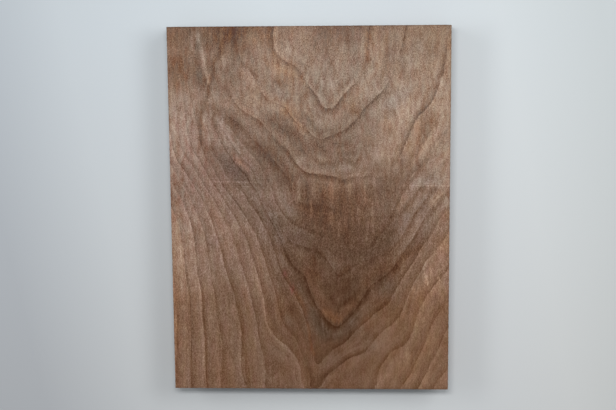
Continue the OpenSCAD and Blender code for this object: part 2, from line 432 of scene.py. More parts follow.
            (60, 120, 50, 120, 0, -0.15), (62, 352, 12, 50, 0, -0.7), (243, 350, 9, 14, 0, -1),
            (210, 362, 9, 45, 0, -0.8), (260, 284, 10, 16, 30, -0.6), (278, 330, 24, 90, -15, -2.1),
            (286, 268, 34, 60, -30, -1.6), (190, 170, 46, 50, 0, -0.5), (158, 200, 18, 9, 0, -0.3),
            (182, 216, 42, 18, 0, -0.2), (205, 200, 30, 26, 0, -0.3), (165, 345, 42, 42, 0, -0.2),
            (10, 372, 14, 30, 0, -1), (36, 362, 14, 40, 0, -1), (71, 384, 7, 17, 0, -0.3),
            (48, 318, 22, 24, 0, -0.9),
        ],
        "flame": [  # how far fibres draw the rings out
            (190, 170, 46, 50, 0, 0.2), (182, 216, 42, 18, 0, 0.5), (205, 200, 30, 26, 0, 0.6),
            (140, 293, 8, 6, -45, 0.3), (248, 245, 14, 30, 0, 0.4), (232, 225, 16, 16, 0, 0.3),
        ],
        "markSheen": [  # how plain the painted sheen along the planer's cross marks is
            (60, 285, 55, 60, 0, 1), (72, 233, 40, 8, 0, 1), (284, 228, 30, 12, 0, 1.6),
            (160, 205, 30, 12, 0, 0.5),
        ],
        "grain": [  # contrast of the fibres
            (160, 380, 220, 110, 0, 0.35), (210, 20, 130, 90, 0, -0.35), (200, 60, 110, 70, 0, -0.3),
        ],
    },
    # Spots: middle across and along, half width, and what is added to tone and to warmth
    "spots": [
        (85, 130, 34, 0.03, 0), (118, 376, 8, 0.06, 0), (216, 378, 9, 0.07, 0.1), (96, 313, 12, 0.05, 0.1),
        (56, 280, 8, 0.05, 0), (24, 282, 8, 0.05, 0), (202, 294, 9, 0.05, 0.2), (264, 296, 8, 0.05, 0.1),
        (248, 216, 8, 0.05, 0), (298, 206, 9, 0.06, -0.2), (96, 184, 10, 0.05, 0), (56, 168, 8, 0.05, 0),
        (72, 216, 8, 0.05, 0), (88, 104, 9, 0.04, 0), (152, 88, 7, 0.04, 0), (48, 24, 10, 0.04, 0),
        (272, 152, 9, 0.045, 0), (248, 8, 8, 0.04, 0), (128, 232, 9, -0.05, 0.1), (200, 55, 8, -0.05, 0),
        (72, 396, 10, -0.05, 0.4), (96, 394, 10, 0, 0.4), (50, 394, 8, 0, 0.4), (264, 362, 14, 0, -0.45),
        (48, 56, 26, 0, -0.3), (142, 168, 16, 0, -0.35), (226, 160, 14, 0, -0.35), (236, 112, 14, 0, -0.35),
        (184, 66, 22, 0, -0.3), (32, 386, 10, 0, -0.4), (108, 190, 14, 0, -0.2), (120, 388, 10, 0.1, 0.1),
        (128, 372, 10, 0.09, 0), (138, 376, 9, 0.06, 0), (232, 376, 9, 0.06, 0.1), (232, 360, 9, 0.07, 0.1),
        (264, 358, 11, 0.08, 0), (280, 356, 10, 0.06, 0.1), (216, 344, 9, 0.07, 0.1),
        (152, 344, 9, 0.06, 0), (280, 340, 9, 0.05, 0.1), (296, 392, 9, 0.06, 0.1), (72, 344, 8, -0.05, 0),
        (88, 360, 7, -0.05, 0), (168, 312, 6, -0.06, 0), (216, 312, 9, -0.05, 0), (60, 297, 10, -0.06, 0),
        (74, 294, 8, -0.04, 0), (140, 266, 9, -0.07, 0), (26, 248, 9, -0.08, 0), (40, 234, 9, -0.05, 0),
        (72, 232, 9, -0.06, 0), (102, 234, 12, -0.07, 0), (6, 218, 9, -0.07, 0.1),
        (104, 200, 9, -0.06, -0.1), (120, 186, 9, -0.07, -0.2), (136, 170, 9, -0.05, -0.3),
        (168, 248, 8, -0.05, 0), (264, 202, 9, -0.05, 0.1), (248, 184, 8, -0.05, 0.1),
        (298, 168, 9, -0.06, 0.2), (297, 88, 9, -0.09, 0.2), (297, 54, 8, -0.05, 0.2),
        (296, 22, 9, -0.06, 0.1), (104, 72, 9, -0.06, 0), (104, 56, 7, -0.04, 0), (105, 24, 11, -0.07, 0),
        (122, 22, 8, -0.05, 0), (136, 40, 7, -0.06, 0), (172, 40, 10, -0.05, -0.1),
        (186, 36, 8, -0.05, -0.2), (184, 10, 10, -0.09, 0), (232, 24, 8, -0.07, 0.1),
        (248, 42, 7, -0.05, 0.2), (216, 72, 8, -0.04, 0.1), (6, 262, 8, 0.05, 0.2),
        (262, 264, 9, 0.06, 0.3), (200, 234, 8, 0.05, 0.1), (152, 234, 8, 0.05, 0.1),
        (184, 230, 8, 0.05, 0.1), (8, 154, 10, 0.05, 0.1), (176, 138, 13, 0.055, 0), (88, 122, 8, 0.05, 0),
        (152, 74, 7, 0.05, 0), (200, 72, 8, 0.06, 0), (264, 38, 8, 0.05, 0), (32, 22, 8, 0.04, 0),
        (272, 272, 9, 0.05, 0.1), (184, 186, 8, 0.05, 0), (128, 308, 9, 0.02, 0.5),
        (236, 298, 8, 0.03, 0.5), (280, 296, 8, 0, 0.4), (200, 322, 14, 0, 0.5), (128, 344, 9, 0, 0.4),
        (88, 388, 9, 0.08, 0.2), (34, 392, 7, -0.08, 0), (180, 386, 9, 0.06, 0), (236, 388, 11, 0.055, 0.1),
        (3, 372, 9, 0.07, -0.2), (216, 372, 8, 0.07, 0.1), (302, 374, 8, 0.07, 0.2),
        (136, 362, 8, 0.06, 0.1), (230, 360, 9, 0.05, 0), (246, 343, 8, 0.06, 0), (112, 336, 9, -0.05, 0),
        (250, 325, 12, -0.05, 0), (40, 313, 7, 0.08, 0.2), (130, 306, 6, 0.08, 0.2),
        (165, 306, 7, 0.07, 0.1), (102, 305, 9, -0.05, 0), (142, 298, 7, -0.05, 0), (272, 298, 8, -0.08, 0),
        (232, 294, 7, 0.05, 0.1), (80, 280, 7, 0.05, -0.1), (162, 277, 8, 0.05, -0.1),
        (60, 260, 12, 0.05, 0), (206, 262, 9, 0.05, 0.2), (250, 264, 14, 0.02, 0.5), (18, 230, 7, -0.05, 0),
        (222, 232, 6, 0.07, 0), (264, 216, 9, 0.05, 0.1), (84, 212, 8, -0.05, 0), (292, 207, 7, 0.08, -0.2),
        (95, 196, 7, -0.05, -0.1), (213, 177, 6, -0.09, 0), (14, 172, 6, 0.07, 0),
        (100, 182, 7, 0.05, -0.1), (118, 168, 8, 0.05, -0.3), (76, 164, 7, -0.05, 0),
        (272, 168, 7, -0.05, 0), (100, 140, 8, -0.055, 0), (136, 138, 7, 0.05, -0.2),
        (272, 134, 8, -0.06, 0), (119, 122, 9, -0.05, -0.1), (208, 116, 8, -0.05, -0.3),
        (288, 114, 8, 0.05, 0.1), (0, 98, 10, -0.09, 0), (143, 103, 6, 0.05, 0), (96, 88, 8, -0.065, 0.1),
        (186, 87, 9, -0.06, 0), (30, 78, 7, -0.05, 0), (126, 78, 6, 0.06, -0.2), (144, 73, 6, -0.05, 0),
        (0, 54, 8, -0.07, 0), (22, 60, 7, 0.05, 0), (188, 50, 8, -0.075, 0), (281, 58, 7, 0.05, 0),
        (141, 36, 7, -0.05, 0), (148, 20, 9, -0.06, 0), (90, 10, 7, -0.055, 0), (114, 10, 7, 0.06, 0),
        (2, 16, 8, 0.05, 0.1), (272, 16, 7, 0.05, 0), (214, 12, 12, 0, 0.3), (72, 360, 12, 0, -0.4),
        (248, 348, 9, 0, 0.2), (34, 292, 9, 0, 0.4), (32, 270, 40, 0, 0.1), (210, 110, 9, 0, -0.4),
        (104, 174, 12, 0, -0.3), (130, 74, 12, 0, -0.5), (242, 168, 12, 0, -0.4), (288, 180, 10, 0, -0.2),
        (236, 122, 9, 0, -0.4), (170, 40, 30, 0, -0.15), (272, 378, 10, 0, -0.3), (72, 388, 9, 0.06, -0.1),
        (48, 391, 8, 0.05, -0.1), (172, 386, 7, 0.06, -0.1), (216, 390, 7, 0.08, 0), (36, 355, 7, 0.05, 0),
        (104, 394, 8, -0.05, -0.2), (66, 350, 9, -0.05, 0), (126, 331, 11, -0.05, 0.2),
        (246, 336, 8, 0.06, 0.1), (290, 358, 7, 0.05, 0.2), (236, 314, 8, -0.06, 0),
        (272, 352, 8, -0.06, 0), (8, 313, 7, -0.055, 0), (0, 324, 7, 0.06, 0), (12, 282, 9, -0.06, 0.1),
        (87, 291, 7, -0.07, -0.2), (172, 245, 8, -0.06, 0), (136, 250, 6, 0.07, 0),
        (140, 264, 7, -0.05, 0.1), (216, 280, 7, -0.05, 0.6), (238, 288, 7, -0.06, 0.2),
        (238, 270, 7, -0.05, 0.1), (258, 292, 6, 0.06, 0.3), (268, 290, 6, -0.05, 0.2),
        (92, 322, 12, 0, 0.4), (132, 310, 12, 0, 0.4), (56, 182, 10, -0.05, 0.1), (166, 203, 9, 0.05, -0.2),
        (248, 199, 6, 0.07, 0), (268, 168, 7, 0.06, 0.2), (229, 165, 7, -0.05, 0), (132, 90, 7, -0.06, 0),
        (119, 74, 6, -0.05, 0), (30, 60, 6, -0.06, 0), (55, 64, 8, -0.05, 0), (192, 28, 7, -0.06, 0.1),
        (290, 32, 6, -0.05, 0), (226, 60, 6, -0.05, 0.2), (150, 4, 8, -0.05, 0), (218, 30, 12, 0, 0.3),
        (33, 392, 7, -0.06, -0.2), (60, 400, 8, -0.05, 0), (72, 304, 6, -0.05, 0), (116, 303, 8, -0.05, 0),
        (64, 338, 7, -0.04, 0), (161, 338, 5, -0.05, 0), (176, 322, 5, 0.05, 0.1), (249, 328, 7, -0.05, 0),
        (276, 277, 7, 0.06, 0.1), (303, 198, 7, -0.07, 0.1), (303, 182, 5, 0.05, 0), (19, 183, 5, -0.06, 0),
        (44, 122, 9, 0.04, 0), (10, 112, 8, 0.04, 0), (166, 166, 8, 0.05, 0), (152, 84, 6, 0.05, 0),
        (270, 100, 7, 0.05, 0.1), (0, 86, 7, -0.07, 0.1), (0, 52, 6, -0.06, 0.1), (304, 100, 7, -0.06, 0),
        (104, 264, 7, 0.05, 0), (128, 261, 5, 0.06, 0.2), (139, 245, 5, 0.05, 0), (170, 226, 8, 0.05, 0),
        (184, 220, 9, 0.06, 0), (202, 232, 7, 0.05, 0), (208, 288, 5, 0.06, 0.2), (216, 238, 6, 0.04, 0.1),
        (226, 210, 6, 0.06, 0), (262, 238, 5, 0.05, 0), (256, 224, 5, 0.05, 0), (290, 336, 7, 0.04, 0),
        (248, 200, 6, 0.04, 0.1), (153, 74, 5, 0.05, 0), (104, 168, 6, 0.05, 0), (8, 52, 8, 0.05, 0.3),
        (104, 104, 6, 0.05, 0), (26, 162, 7, 0.04, 0), (10, 158, 8, 0.04, 0), (26, 186, 6, 0.05, 0),
        (0, 72, 7, -0.06, 0.3), (28, 270, 5, -0.06, 0), (110, 335, 10, -0.06, 0.1), (98, 353, 5, -0.05, 0),
        (144, 296, 6, -0.05, 0), (216, 174, 6, -0.05, 0), (291, 170, 6, -0.05, 0), (273, 128, 6, -0.06, 0),
        (270, 102, 6, -0.04, 0), (216, 98, 7, -0.05, 0), (264, 281, 6, -0.06, 0.1), (34, 385, 6, -0.04, 0),
        (184, 8, 8, -0.02, 0.1), (54, 170, 6, -0.04, -0.3), (232, 120, 6, -0.05, 0),
        (56, 281, 8, 0.05, 0.1), (64, 283, 3.5, -0.1, 0), (19, 286, 3.5, -0.08, 0), (38, 266, 4, 0.05, 0),
        (96, 390, 10, 0, -0.35), (176, 203, 7, 0.02, -0.5), (240, 304, 5, 0, -0.45),
        (200, 350, 12, 0, -0.25), (120, 268, 9, 0, 0.3), (120, 360, 12, 0, 0.3), (200, 308, 9, 0, 0.3),
        (250, 84, 9, 0, 0.3), (302, 232, 7, 0, 0.3), (148, 32, 6, 0, -0.3), (72, 130, 14, 0, -0.2),
        (184, 84, 8, 0, -0.25), (146, 112, 8, 0, -0.25), (54, 304, 7, 0, -0.3), (89, 298, 6, 0, 0.35),
        (106, 377, 7, -0.05, 0), (128, 378, 7, -0.05, 0), (120, 363, 8, 0.06, 0), (130, 316, 6, 0.05, 0),
        (152, 315, 6, 0.05, 0.1), (174, 327, 4, 0.05, 0), (244, 338, 5, 0.05, 0), (88, 311, 6, 0.05, 0),
        (52, 318, 5, 0.05, 0), (64, 329, 7, -0.05, -0.1), (100, 304, 4, -0.05, 0), (42, 273, 7, 0.04, -0.1),
        (4, 286, 6, -0.04, 0), (256, 276, 5, 0.05, 0), (288, 262, 5, 0.06, -0.2), (216, 288, 5, -0.05, 0),
        (289, 342, 5, 0.05, 0), (260, 364, 5, -0.05, 0), (250, 377, 7, 0.05, 0), (44, 390, 7, 0.05, 0),
        (34, 360, 5, 0.04, 0), (202, 392, 8, 0.04, -0.3), (230, 392, 7, 0.04, 0), (30, 128, 5, 0.05, 0),
        (142, 92, 5, 0.05, 0), (186, 45, 5, -0.05, 0), (188, 61, 6, 0.04, 0), (72, 54, 5, 0.05, 0),
        (206, 100, 5, 0.05, 0), (275, 152, 5, -0.04, 0), (74, 298, 7, 0, -0.4), (86, 284, 6, 0, -0.3),
        (120, 277, 9, 0, 0.3), (138, 106, 5, 0, 0.3), (168, 104, 6, 0, 0.3), (264, 376, 6, 0, -0.3),
        (70, 381, 7, 0, -0.3), (62, 337, 8, 0, -0.25), (228, 290, 8, 0, 0.25), (196, 296, 8, 0, 0.25),
        (300, 215, 7, 0, -0.3), (280, 262, 8, 0, -0.2), (4, 60, 14, 0, 0.2), (4, 20, 14, 0, 0.2),
        (72, 392, 8, 0.06, 0), (92, 392, 7, 0.04, 0), (120, 392, 7, 0.05, 0), (148, 391, 7, 0.04, 0),
        (184, 376, 8, 0.05, 0), (216, 376, 9, 0.04, 0), (118, 349, 6, 0.06, 0), (98, 324, 5, 0.05, 0),
        (150, 329, 5, -0.06, 0), (162, 307, 5, 0.05, 0), (176, 306, 5, 0.04, 0), (236, 342, 6, -0.06, -0.2),
        (252, 352, 7, -0.04, 0), (228, 329, 5, 0.06, 0), (214, 328, 5, 0.05, 0.1), (51, 280, 6, 0.03, 0),
        (60, 282, 6, 0.04, 0), (30, 278, 5, -0.05, 0), (120, 248, 6, 0.05, 0), (88, 240, 5, 0.05, 0),
        (104, 233, 6, -0.05, 0), (121, 232, 7, -0.06, 0), (184, 249, 7, -0.05, 0.1),
        (168, 268, 8, -0.03, 0), (38, 206, 9, 0.04, 0), (66, 224, 5, 0.04, 0.1), (46, 162, 6, -0.06, -0.2),
        (208, 198, 5, 0.06, 0), (74, 151, 6, 0.05, 0.1), (138, 164, 8, -0.05, 0), (280, 217, 6, 0.06, 0),
        (250, 184, 6, -0.04, 0), (280, 171, 5, -0.05, 0), (276, 152, 4, 0.05, 0), (134, 116, 6, 0.04, 0),
        (20, 112, 5, 0.06, 0), (216, 138, 5, -0.05, 0), (266, 110, 5, 0.05, 0), (40, 82, 5, 0.05, 0),
        (70, 92, 7, 0.04, 0.1), (198, 75, 6, 0.05, 0), (152, 68, 5, 0.04, 0), (8, 72, 6, 0.05, 0.1),
        (92, 50, 4, 0.05, 0), (186, 34, 5, 0.06, 0), (156, 16, 6, 0.05, 0), (168, 6, 5, -0.05, 0),
        (264, 48, 4, -0.05, 0), (176, 203, 6, 0, -0.4), (74, 366, 10, -0.03, -0.35),
        (280, 248, 8, 0, -0.35), (300, 122, 6, 0, -0.3), (6, 245, 8, 0, 0.3), (72, 166, 10, 0, 0.25),
        (232, 24, 9, 0, -0.3), (36, 376, 8, 0, -0.25), (200, 378, 10, 0, -0.2), (216, 88, 5, 0.04, -0.1),
        (248, 45, 5, 0.04, 0.1), (24, 45, 6, 0, -0.1), (152, 184, 14, 0, -0.2), (190, 160, 16, 0, -0.15),
        (87, 24, 5, -0.05, 0), (80, 12, 4, 0.05, 0), (242, 18, 6, 0.04, 0.1), (10, 376, 16, 0, -0.3),
        (42, 392, 12, 0, -0.3), (88, 394, 10, 0, -0.5), (202, 384, 14, 0, -0.35), (272, 384, 16, 0, -0.25),
        (136, 376, 14, 0, -0.3), (208, 312, 12, 0, 0.3), (216, 280, 8, 0, 0.3), (56, 280, 20, 0, -0.15),
        (262, 184, 13, 0, 0.35), (172, 203, 8, 0, -0.3), (272, 112, 14, 0, 0.25), (200, 104, 10, 0, -0.3),
        (74, 270, 5, -0.05, 0), (69, 277, 4, -0.05, 0), (112, 256, 6, 0.06, 0.1), (126, 243, 5, 0.04, -0.4),
        (100, 268, 5, 0.03, -0.3), (147, 116, 10, 0, -0.25), (42, 154, 13, 0, 0.25), (0, 215, 14, 0, 0.3),
        (240, 246, 14, 0, 0.25),
    ],
    # Strokes: half width, what is added to tone and to warmth, and the points of its line
    "strokes": [
        (5.5, -0.08, 0.1, [(40, 314), (50, 312), (60, 306), (72, 297), (84, 285), (96, 272), (108, 260),
            (120, 247), (130, 236), (137, 224)]),
        (1.6, -0.14, 0.1, [(48, 303), (52, 290), (58, 276), (65, 263), (75, 251), (84, 241), (88, 233)]),
        (3.5, 0.05, -0.15, [(56, 300), (61, 286), (69, 273)]),
        (2.6, 0.06, 0.9, [(69, 263), (76, 254), (84, 246)]),
        (7, -0.07, -0.5, [(60, 258), (70, 247), (80, 238)]),
        (1, 0.1, 0, [(130, 240), (134, 226), (138, 212)]),
        (2.1, -0.17, 0.7, [(62, 386), (57, 374), (53, 364), (50, 362), (49, 350), (46, 338), (43, 328),
            (40, 318), (35, 305), (34, 290), (35, 277), (32, 266)]),
        (1.8, -0.1, 0.5, [(37, 352), (42, 338)]),
        (1.6, 0.15, 0.1, [(42, 349), (44, 341), (46, 337)]),
        (2.6, -0.08, 0.3, [(34, 280), (36, 274)]),
        (1.5, 0.06, 0, [(39, 306), (38, 290), (38, 280)]),
        (3.5, -0.1, -0.4, [(33, 382), (34, 365), (34, 345), (36, 335)]),
        (2.6, 0.1, -0.1, [(30, 394), (37, 380), (39, 365), (41, 352)]),
        (1.8, 0.12, 0, [(27, 388), (28, 376)]),
        (2.4, -0.05, 0.3, [(52, 400), (53, 378)]),
        (2, -0.05, 0.2, [(43, 400), (43, 380)]),
        (2.8, -0.07, 0.1, [(112, 281), (120, 273), (130, 265), (136, 254), (142, 245), (150, 241)]),
        (2.6, 0.05, 0.3, [(122, 312), (132, 303), (142, 293), (150, 286)]),
        (2.3, -0.07, 0.4, [(143, 345), (150, 336), (157, 326), (164, 314), (168, 310), (176, 310),
            (183, 317), (190, 325)]),
        (2.2, -0.09, 0.4, [(119, 366), (127, 361), (136, 358), (141, 352), (143, 345)]),
        (2.4, -0.03, 0.4, [(110, 398), (111, 378), (115, 369), (120, 363)]),
        (1.5, -0.1, 0.3, [(162, 283), (172, 282), (183, 286), (192, 291), (199, 298)]),
        (1.6, -0.08, -0.1, [(149, 307), (153, 298), (158, 291), (164, 287)]),
        (1.7, -0.07, 0, [(192, 290), (198, 295), (204, 303), (210, 311), (218, 318), (226, 327),
            (234, 336)]),
        (1.7, -0.12, 0.1, [(144, 266), (150, 264), (157, 258), (162, 253), (170, 254), (176, 252),
            (184, 256), (192, 256), (200, 252), (206, 256)]),
        (1.8, -0.11, 0.1, [(178, 275), (184, 273), (190, 272), (195, 276)]),
        (2.4, -0.1, 0.3, [(158, 276), (162, 270), (170, 267)]),
        (2, -0.09, 0.2, [(138, 283), (143, 276), (145, 268)]),
        (3, 0.06, 0, [(164, 259), (172, 258)]),
        (1.6, -0.1, 0.1, [(182, 266), (192, 263), (202, 264)]),
        (1.8, -0.1, 0.3, [(118, 274), (127, 267), (133, 258), (138, 249)]),
        (2.5, -0.09, 0.3, [(160, 306), (166, 303)]),
        (2.6, -0.06, 0.1, [(147, 241), (158, 239), (172, 237), (182, 235), (190, 232), (197, 235)]),
        (10, -0.04, 0.1, [(150, 199), (168, 199)]),
        (6, -0.03, 0.3, [(112, 260), (122, 248), (132, 234)]),
        (2, -0.08, 0.1, [(255, 400), (252, 388), (250, 374)]),
        (1.8, -0.05, 0.3, [(236, 390), (236, 355)]),
        (1.6, -0.05, 0.2, [(242, 378), (243, 348)]),
        (2, -0.06, 0.1, [(252, 264), (252, 225)]),
        (2, -0.05, 0.1, [(246, 246), (244, 214)]),
        (2.2, 0.12, 0.3, [(195, 233), (195, 216)]),
        (1.3, 0.13, 0.4, [(153.5, 210), (153.5, 194)]),
        (2.4, 0.12, 0.1, [(176, 201), (175, 186)]),
        (2, 0.13, 0.1, [(220, 207), (221, 184)]),
        (1.8, 0.12, 0.1, [(205, 202), (206, 186)]),
        (2.4, 0.11, 0.1, [(140, 234), (140, 213)]),
        (2, 0.08, 0.1, [(156, 232), (157, 216)]),
        (1.6, -0.1, 0.1, [(202, 232), (203, 214)]),
        (1.6, 0.08, 0.1, [(211, 230), (212, 212)]),
        (1.6, 0.12, 0.1, [(184, 190), (184, 174)]),
        (1.6, 0.12, 0.1, [(215, 186), (214, 172)]),
        (2, -0.06, -0.1, [(128, 192), (136, 184), (142, 181)]),
        (2, -0.07, -0.1, [(129, 169), (140, 163), (150, 160), (160, 156), (167, 150)]),
        (3.5, 0.04, -0.15, [(138, 180), (148, 175), (158, 168)]),
        (2.4, -0.1, -0.3, [(110, 190), (118, 175), (123, 162), (127, 150), (133, 141), (140, 134),
            (146, 127), (150, 116), (154, 104), (160, 93), (166, 84), (173, 76), (180, 72), (187, 75),
            (194, 82), (202, 92), (209, 103), (216, 114)]),
        (1.4, 0.08, 0.1, [(124, 174), (125, 165)]),
        (7, 0.03, 0.55, [(152, 132), (155, 118), (161, 104), (169, 92), (177, 84), (184, 82), (191, 89),
            (199, 97), (207, 106), (213, 118)]),
        (2.2, -0.06, 0.1, [(175, 103), (180, 96), (188, 95), (196, 103)]),
        (1.2, 0.02, 0.5, [(126, 127), (130, 119)]),
        (1.8, 0.03, 0.6, [(134, 113), (139, 104), (144, 95), (148, 85)]),
        (1.4, 0, 0.8, [(149, 75), (151, 60), (153, 48), (156, 38)]),
        (3.2, 0.08, 0.05, [(100, 100), (103, 82), (108, 66), (116, 57), (124, 50), (131, 42), (137, 32),
            (141, 20), (144, 2)]),
        (1.3, 0.08, 0, [(101, 96), (103, 80)]),
        (1.2, 0.08, 0, [(100, 20), (103, 13), (108, 11), (112, 13), (115, 17), (118, 12), (122, 5),
            (124, 0)]),
        (2.8, -0.05, 0, [(106, 16), (109, 16)]),
        (2.4, -0.07, 0.15, [(72, 98), (76, 76), (79, 45), (83, 8)]),
        (1.6, -0.06, 0.15, [(33, 108), (35, 60), (35, 0)]),
        (1.5, -0.06, 0.2, [(18, 110), (18, 0)]),
        (1.6, 0.07, 0, [(16, 200), (21, 180), (24, 158), (28, 130), (31, 108), (32, 60), (32, 10)]),
        (1.4, 0.07, 0, [(41, 198), (46, 182), (51, 162), (55, 146), (59, 130)]),
        (1.6, 0.06, 0, [(66, 200), (73, 182)]),
        (3, -0.04, 0.2, [(50, 78), (51, 40)]),
        (1.8, -0.04, 0.1, [(165, 12), (170, 17), (178, 19), (186, 26), (194, 34), (200, 38), (208, 42),
            (216, 47)]),
        (1.8, -0.06, 0, [(206, 41), (211, 44), (216, 47)]),
        (2.6, -0.08, 0.3, [(226, 90), (232, 95), (238, 100)]),
        (1.6, -0.07, 0.1, [(267, 118), (263, 110), (261, 100), (259, 88)]),
        (1.3, -0.09, 0.1, [(263.5, 46), (263.5, 27)]),
        (1.2, -0.06, 0, [(207, 163), (212, 158), (217, 157), (222, 164), (224, 172)]),
        (1.9, 0.36, 0.3, [(278, 131), (279, 126), (280, 121)]),
        (1.1, 0.24, 0.3, [(283, 136), (284, 132)]),
        (1.2, 0.42, 0.3, [(292, 126), (293, 124)]),
        (1.5, 0.12, 0.1, [(265, 118), (266, 112)]),
        (1.5, 0.06, 0, [(7, 378), (14, 374)]),
        (2.5, -0.08, 0.1, [(23, 398), (25, 386)]),
        (3, 0.14, -0.3, [(26, 386), (28, 392)]),
        (3.2, 0.14, -0.3, [(33, 384), (34, 391)]),
        (2.6, 0.1, -0.1, [(37, 373), (39, 362)]),
        (5, -0.09, 0.15, [(45, 399), (45, 378)]),
        (3.2, -0.1, 0.2, [(54, 398), (54, 372)]),
        (5, -0.1, 0, [(72, 398), (73, 384)]),
        (2.4, -0.1, 0.4, [(64, 393), (63, 384)]),
        (2, -0.12, 0.4, [(64, 381), (60, 372), (56, 366)]),
        (3.5, 0.07, 0.1, [(60, 366), (60, 359)]),
        (1.5, -0.12, 0.3, [(49, 360), (50, 350), (49, 343)]),
        (2, 0.14, 0.2, [(45, 346), (44, 340)]),
        (2, -0.12, 0.3, [(41, 343), (40, 337)]),
        (2.4, -0.09, -0.1, [(38, 313), (50, 313), (62, 311), (72, 309)]),
        (3, 0.06, -0.2, [(50, 331), (50, 319)]),
        (1.2, 0.08, 0, [(56, 352), (60, 343), (62, 338)]),
        (2, -0.07, 0, [(62, 335), (66, 327), (70, 322)]),
        (1.5, -0.05, 0.2, [(76, 364), (84, 359), (88, 356), (92, 348), (97, 339), (101, 333)]),
        (4, 0.05, 0.3, [(82, 350), (92, 340), (98, 330)]),
        (5, 0.04, 0.5, [(120, 353), (132, 351), (137, 346)]),
        (3, -0.1, 0.3, [(115, 341), (122, 339), (131, 338)]),
        (5, 0.02, -0.4, [(110, 333), (128, 327)]),
        (2, -0.04, 0.4, [(118, 321), (126, 315), (130, 308), (136, 301)]),
        (2.2, -0.08, 0.2, [(143, 324), (145, 310)]),
        (1.8, -0.09, 0.3, [(160, 383), (158, 375)]),
        (5, -0.06, 0.2, [(168, 394), (172, 384)]),
        (3.5, -0.05, 0.1, [(170, 372), (174, 362)]),
        (1.5, 0.05, 0, [(183, 364), (182, 352)]),
        (5, 0.05, -0.2, [(162, 340), (178, 338)]),
        (2.4, -0.06, 0.3, [(192, 398), (193, 382)]),
        (2.5, -0.06, 0.4, [(216, 398), (216, 376), (214, 362)]),
        (3, -0.08, 0.3, [(236, 374), (236, 352)]),
        (3, -0.05, -0.1, [(253, 366), (254, 345)]),
        (7, 0.06, -0.6, [(240, 316), (248, 321), (256, 331)]),
        (4, -0.07, 0.3, [(270, 306), (277, 312)]),
        (7, 0.05, 0.3, [(254, 306), (268, 326)]),
        (2.2, -0.07, 0.5, [(34, 300), (35, 285), (33, 272)]),
        (2, -0.06, -0.1, [(48, 302), (51, 292), (56, 281)]),
        (3.5, 0.05, 0, [(120, 50), (134, 34)]),
        (3, -0.04, 0, [(92, 202), (104, 182)]),
        (9, -0.06, 0, [(46, 266), (48, 256)]),
        (2.4, -0.09, 0.2, [(66, 300), (70, 292), (74, 284), (82, 276), (90, 270), (98, 264), (104, 258)]),
        (3.6, 0.03, 0, [(58, 296), (62, 282), (68, 272)]),
        (3, 0.13, 0.3, [(136, 298), (142, 292), (146, 288)]),
        (1.8, -0.1, 0.4, [(147, 293), (150, 288)]),
        (4.5, -0.07, 0.1, [(112, 297), (120, 290), (130, 284), (136, 276)]),
        (4.5, 0.05, 0, [(122, 280), (130, 275), (136, 266), (142, 258)]),
        (5, 0.06, -0.3, [(142, 256), (152, 250), (162, 248), (176, 249), (192, 248)]),
        (6.5, -0.05, 0.2, [(102, 268), (110, 262), (118, 255), (126, 246), (133, 238), (137, 229)]),
        (1, 0.08, 0, [(120, 243), (126, 237), (132, 231), (135, 225)]),
        (2.2, -0.13, 0.1, [(149, 233), (149, 213)]),
        (3.2, -0.08, 0.1, [(166, 226), (167, 212)]),
        (3, -0.06, 0.2, [(187, 232), (187, 210)]),
        (2.6, 0.11, 0.3, [(176, 230), (176, 210)]),
        (2.4, -0.07, 0.1, [(141, 206), (156, 206), (168, 204), (178, 200)]),
        (2, 0.09, 0.1, [(222, 240), (223, 226), (226, 206)]),
        (1.5, -0.08, 0.2, [(242, 256), (240, 236)]),
        (1.5, 0.07, 0, [(247, 264), (247, 240)]),
        (4, 0.05, 0.5, [(268, 296), (267, 276)]),
        (1.5, -0.08, 0.2, [(273, 292), (271, 276)]),
        (2, -0.07, 0.2, [(268, 264), (268, 250)]),
        (1.2, -0.14, 0.1, [(261, 210), (263, 209)]),
        (2, -0.14, 0.1, [(275, 234), (281, 241)]),
        (1.5, -0.1, 0.2, [(297, 253), (298, 250)]),
        (2.4, -0.07, 0.1, [(130, 190), (142, 184), (154, 178), (164, 173)]),
        (5, 0.05, -0.3, [(111, 197), (116, 180), (120, 167)]),
        (6, 0.05, -0.3, [(130, 200), (134, 196)]),
        (4.5, -0.06, 0, [(128, 150), (136, 140), (144, 131), (149, 122), (152, 110)]),
        (3.5, 0.06, -0.2, [(120, 150), (125, 139)]),
        (1.6, -0.08, 0.3, [(148, 158), (158, 158), (165, 155), (169, 149)]),
        (2.4, -0.08, 0.5, [(183, 131), (190, 133), (194, 138)]),
        (2.2, -0.07, 0.5, [(156, 149), (157, 141)]),
        (2, -0.07, 0.3, [(158, 132), (163, 126)]),
        (1.6, 0.1, 0, [(162, 124), (166, 124)]),
        (3, 0.04, 0.3, [(178, 148), (186, 145)]),
        (1.4, 0.07, 0.2, [(191, 192), (190, 178)]),
        (4, -0.06, 0.3, [(193, 182), (193, 166)]),
        (4, 0.06, -0.5, [(246, 186), (253, 178), (258, 196)]),
        (4, 0.05, 0, [(258, 170), (266, 186), (270, 198)]),
        (4.5, -0.09, 0.4, [(245, 138), (252, 148), (261, 156), (272, 160)]),
        (1, 0.08, 0, [(64, 58), (64, 50)]),
        (1, 0.08, 0, [(68.5, 62), (68.5, 51)]),
        (1.2, 0.08, 0.1, [(90, 50), (90, 40)]),
        (1, 0.08, 0, [(65, 26), (65, 18)]),
        (1.2, 0.07, 0, [(76, 36), (77, 31)]),
        (4.5, 0.07, 0.7, [(168, 89), (176, 82), (184, 80)]),
        (8, -0.07, -0.6, [(154, 84), (162, 71), (172, 63), (184, 62), (194, 70), (202, 82)]),
        (5, 0.05, 0, [(166, 24), (180, 36), (194, 46), (204, 54)]),
        (3, 0.06, 0, [(166, 6), (172, 12), (184, 18), (196, 26), (202, 31)]),
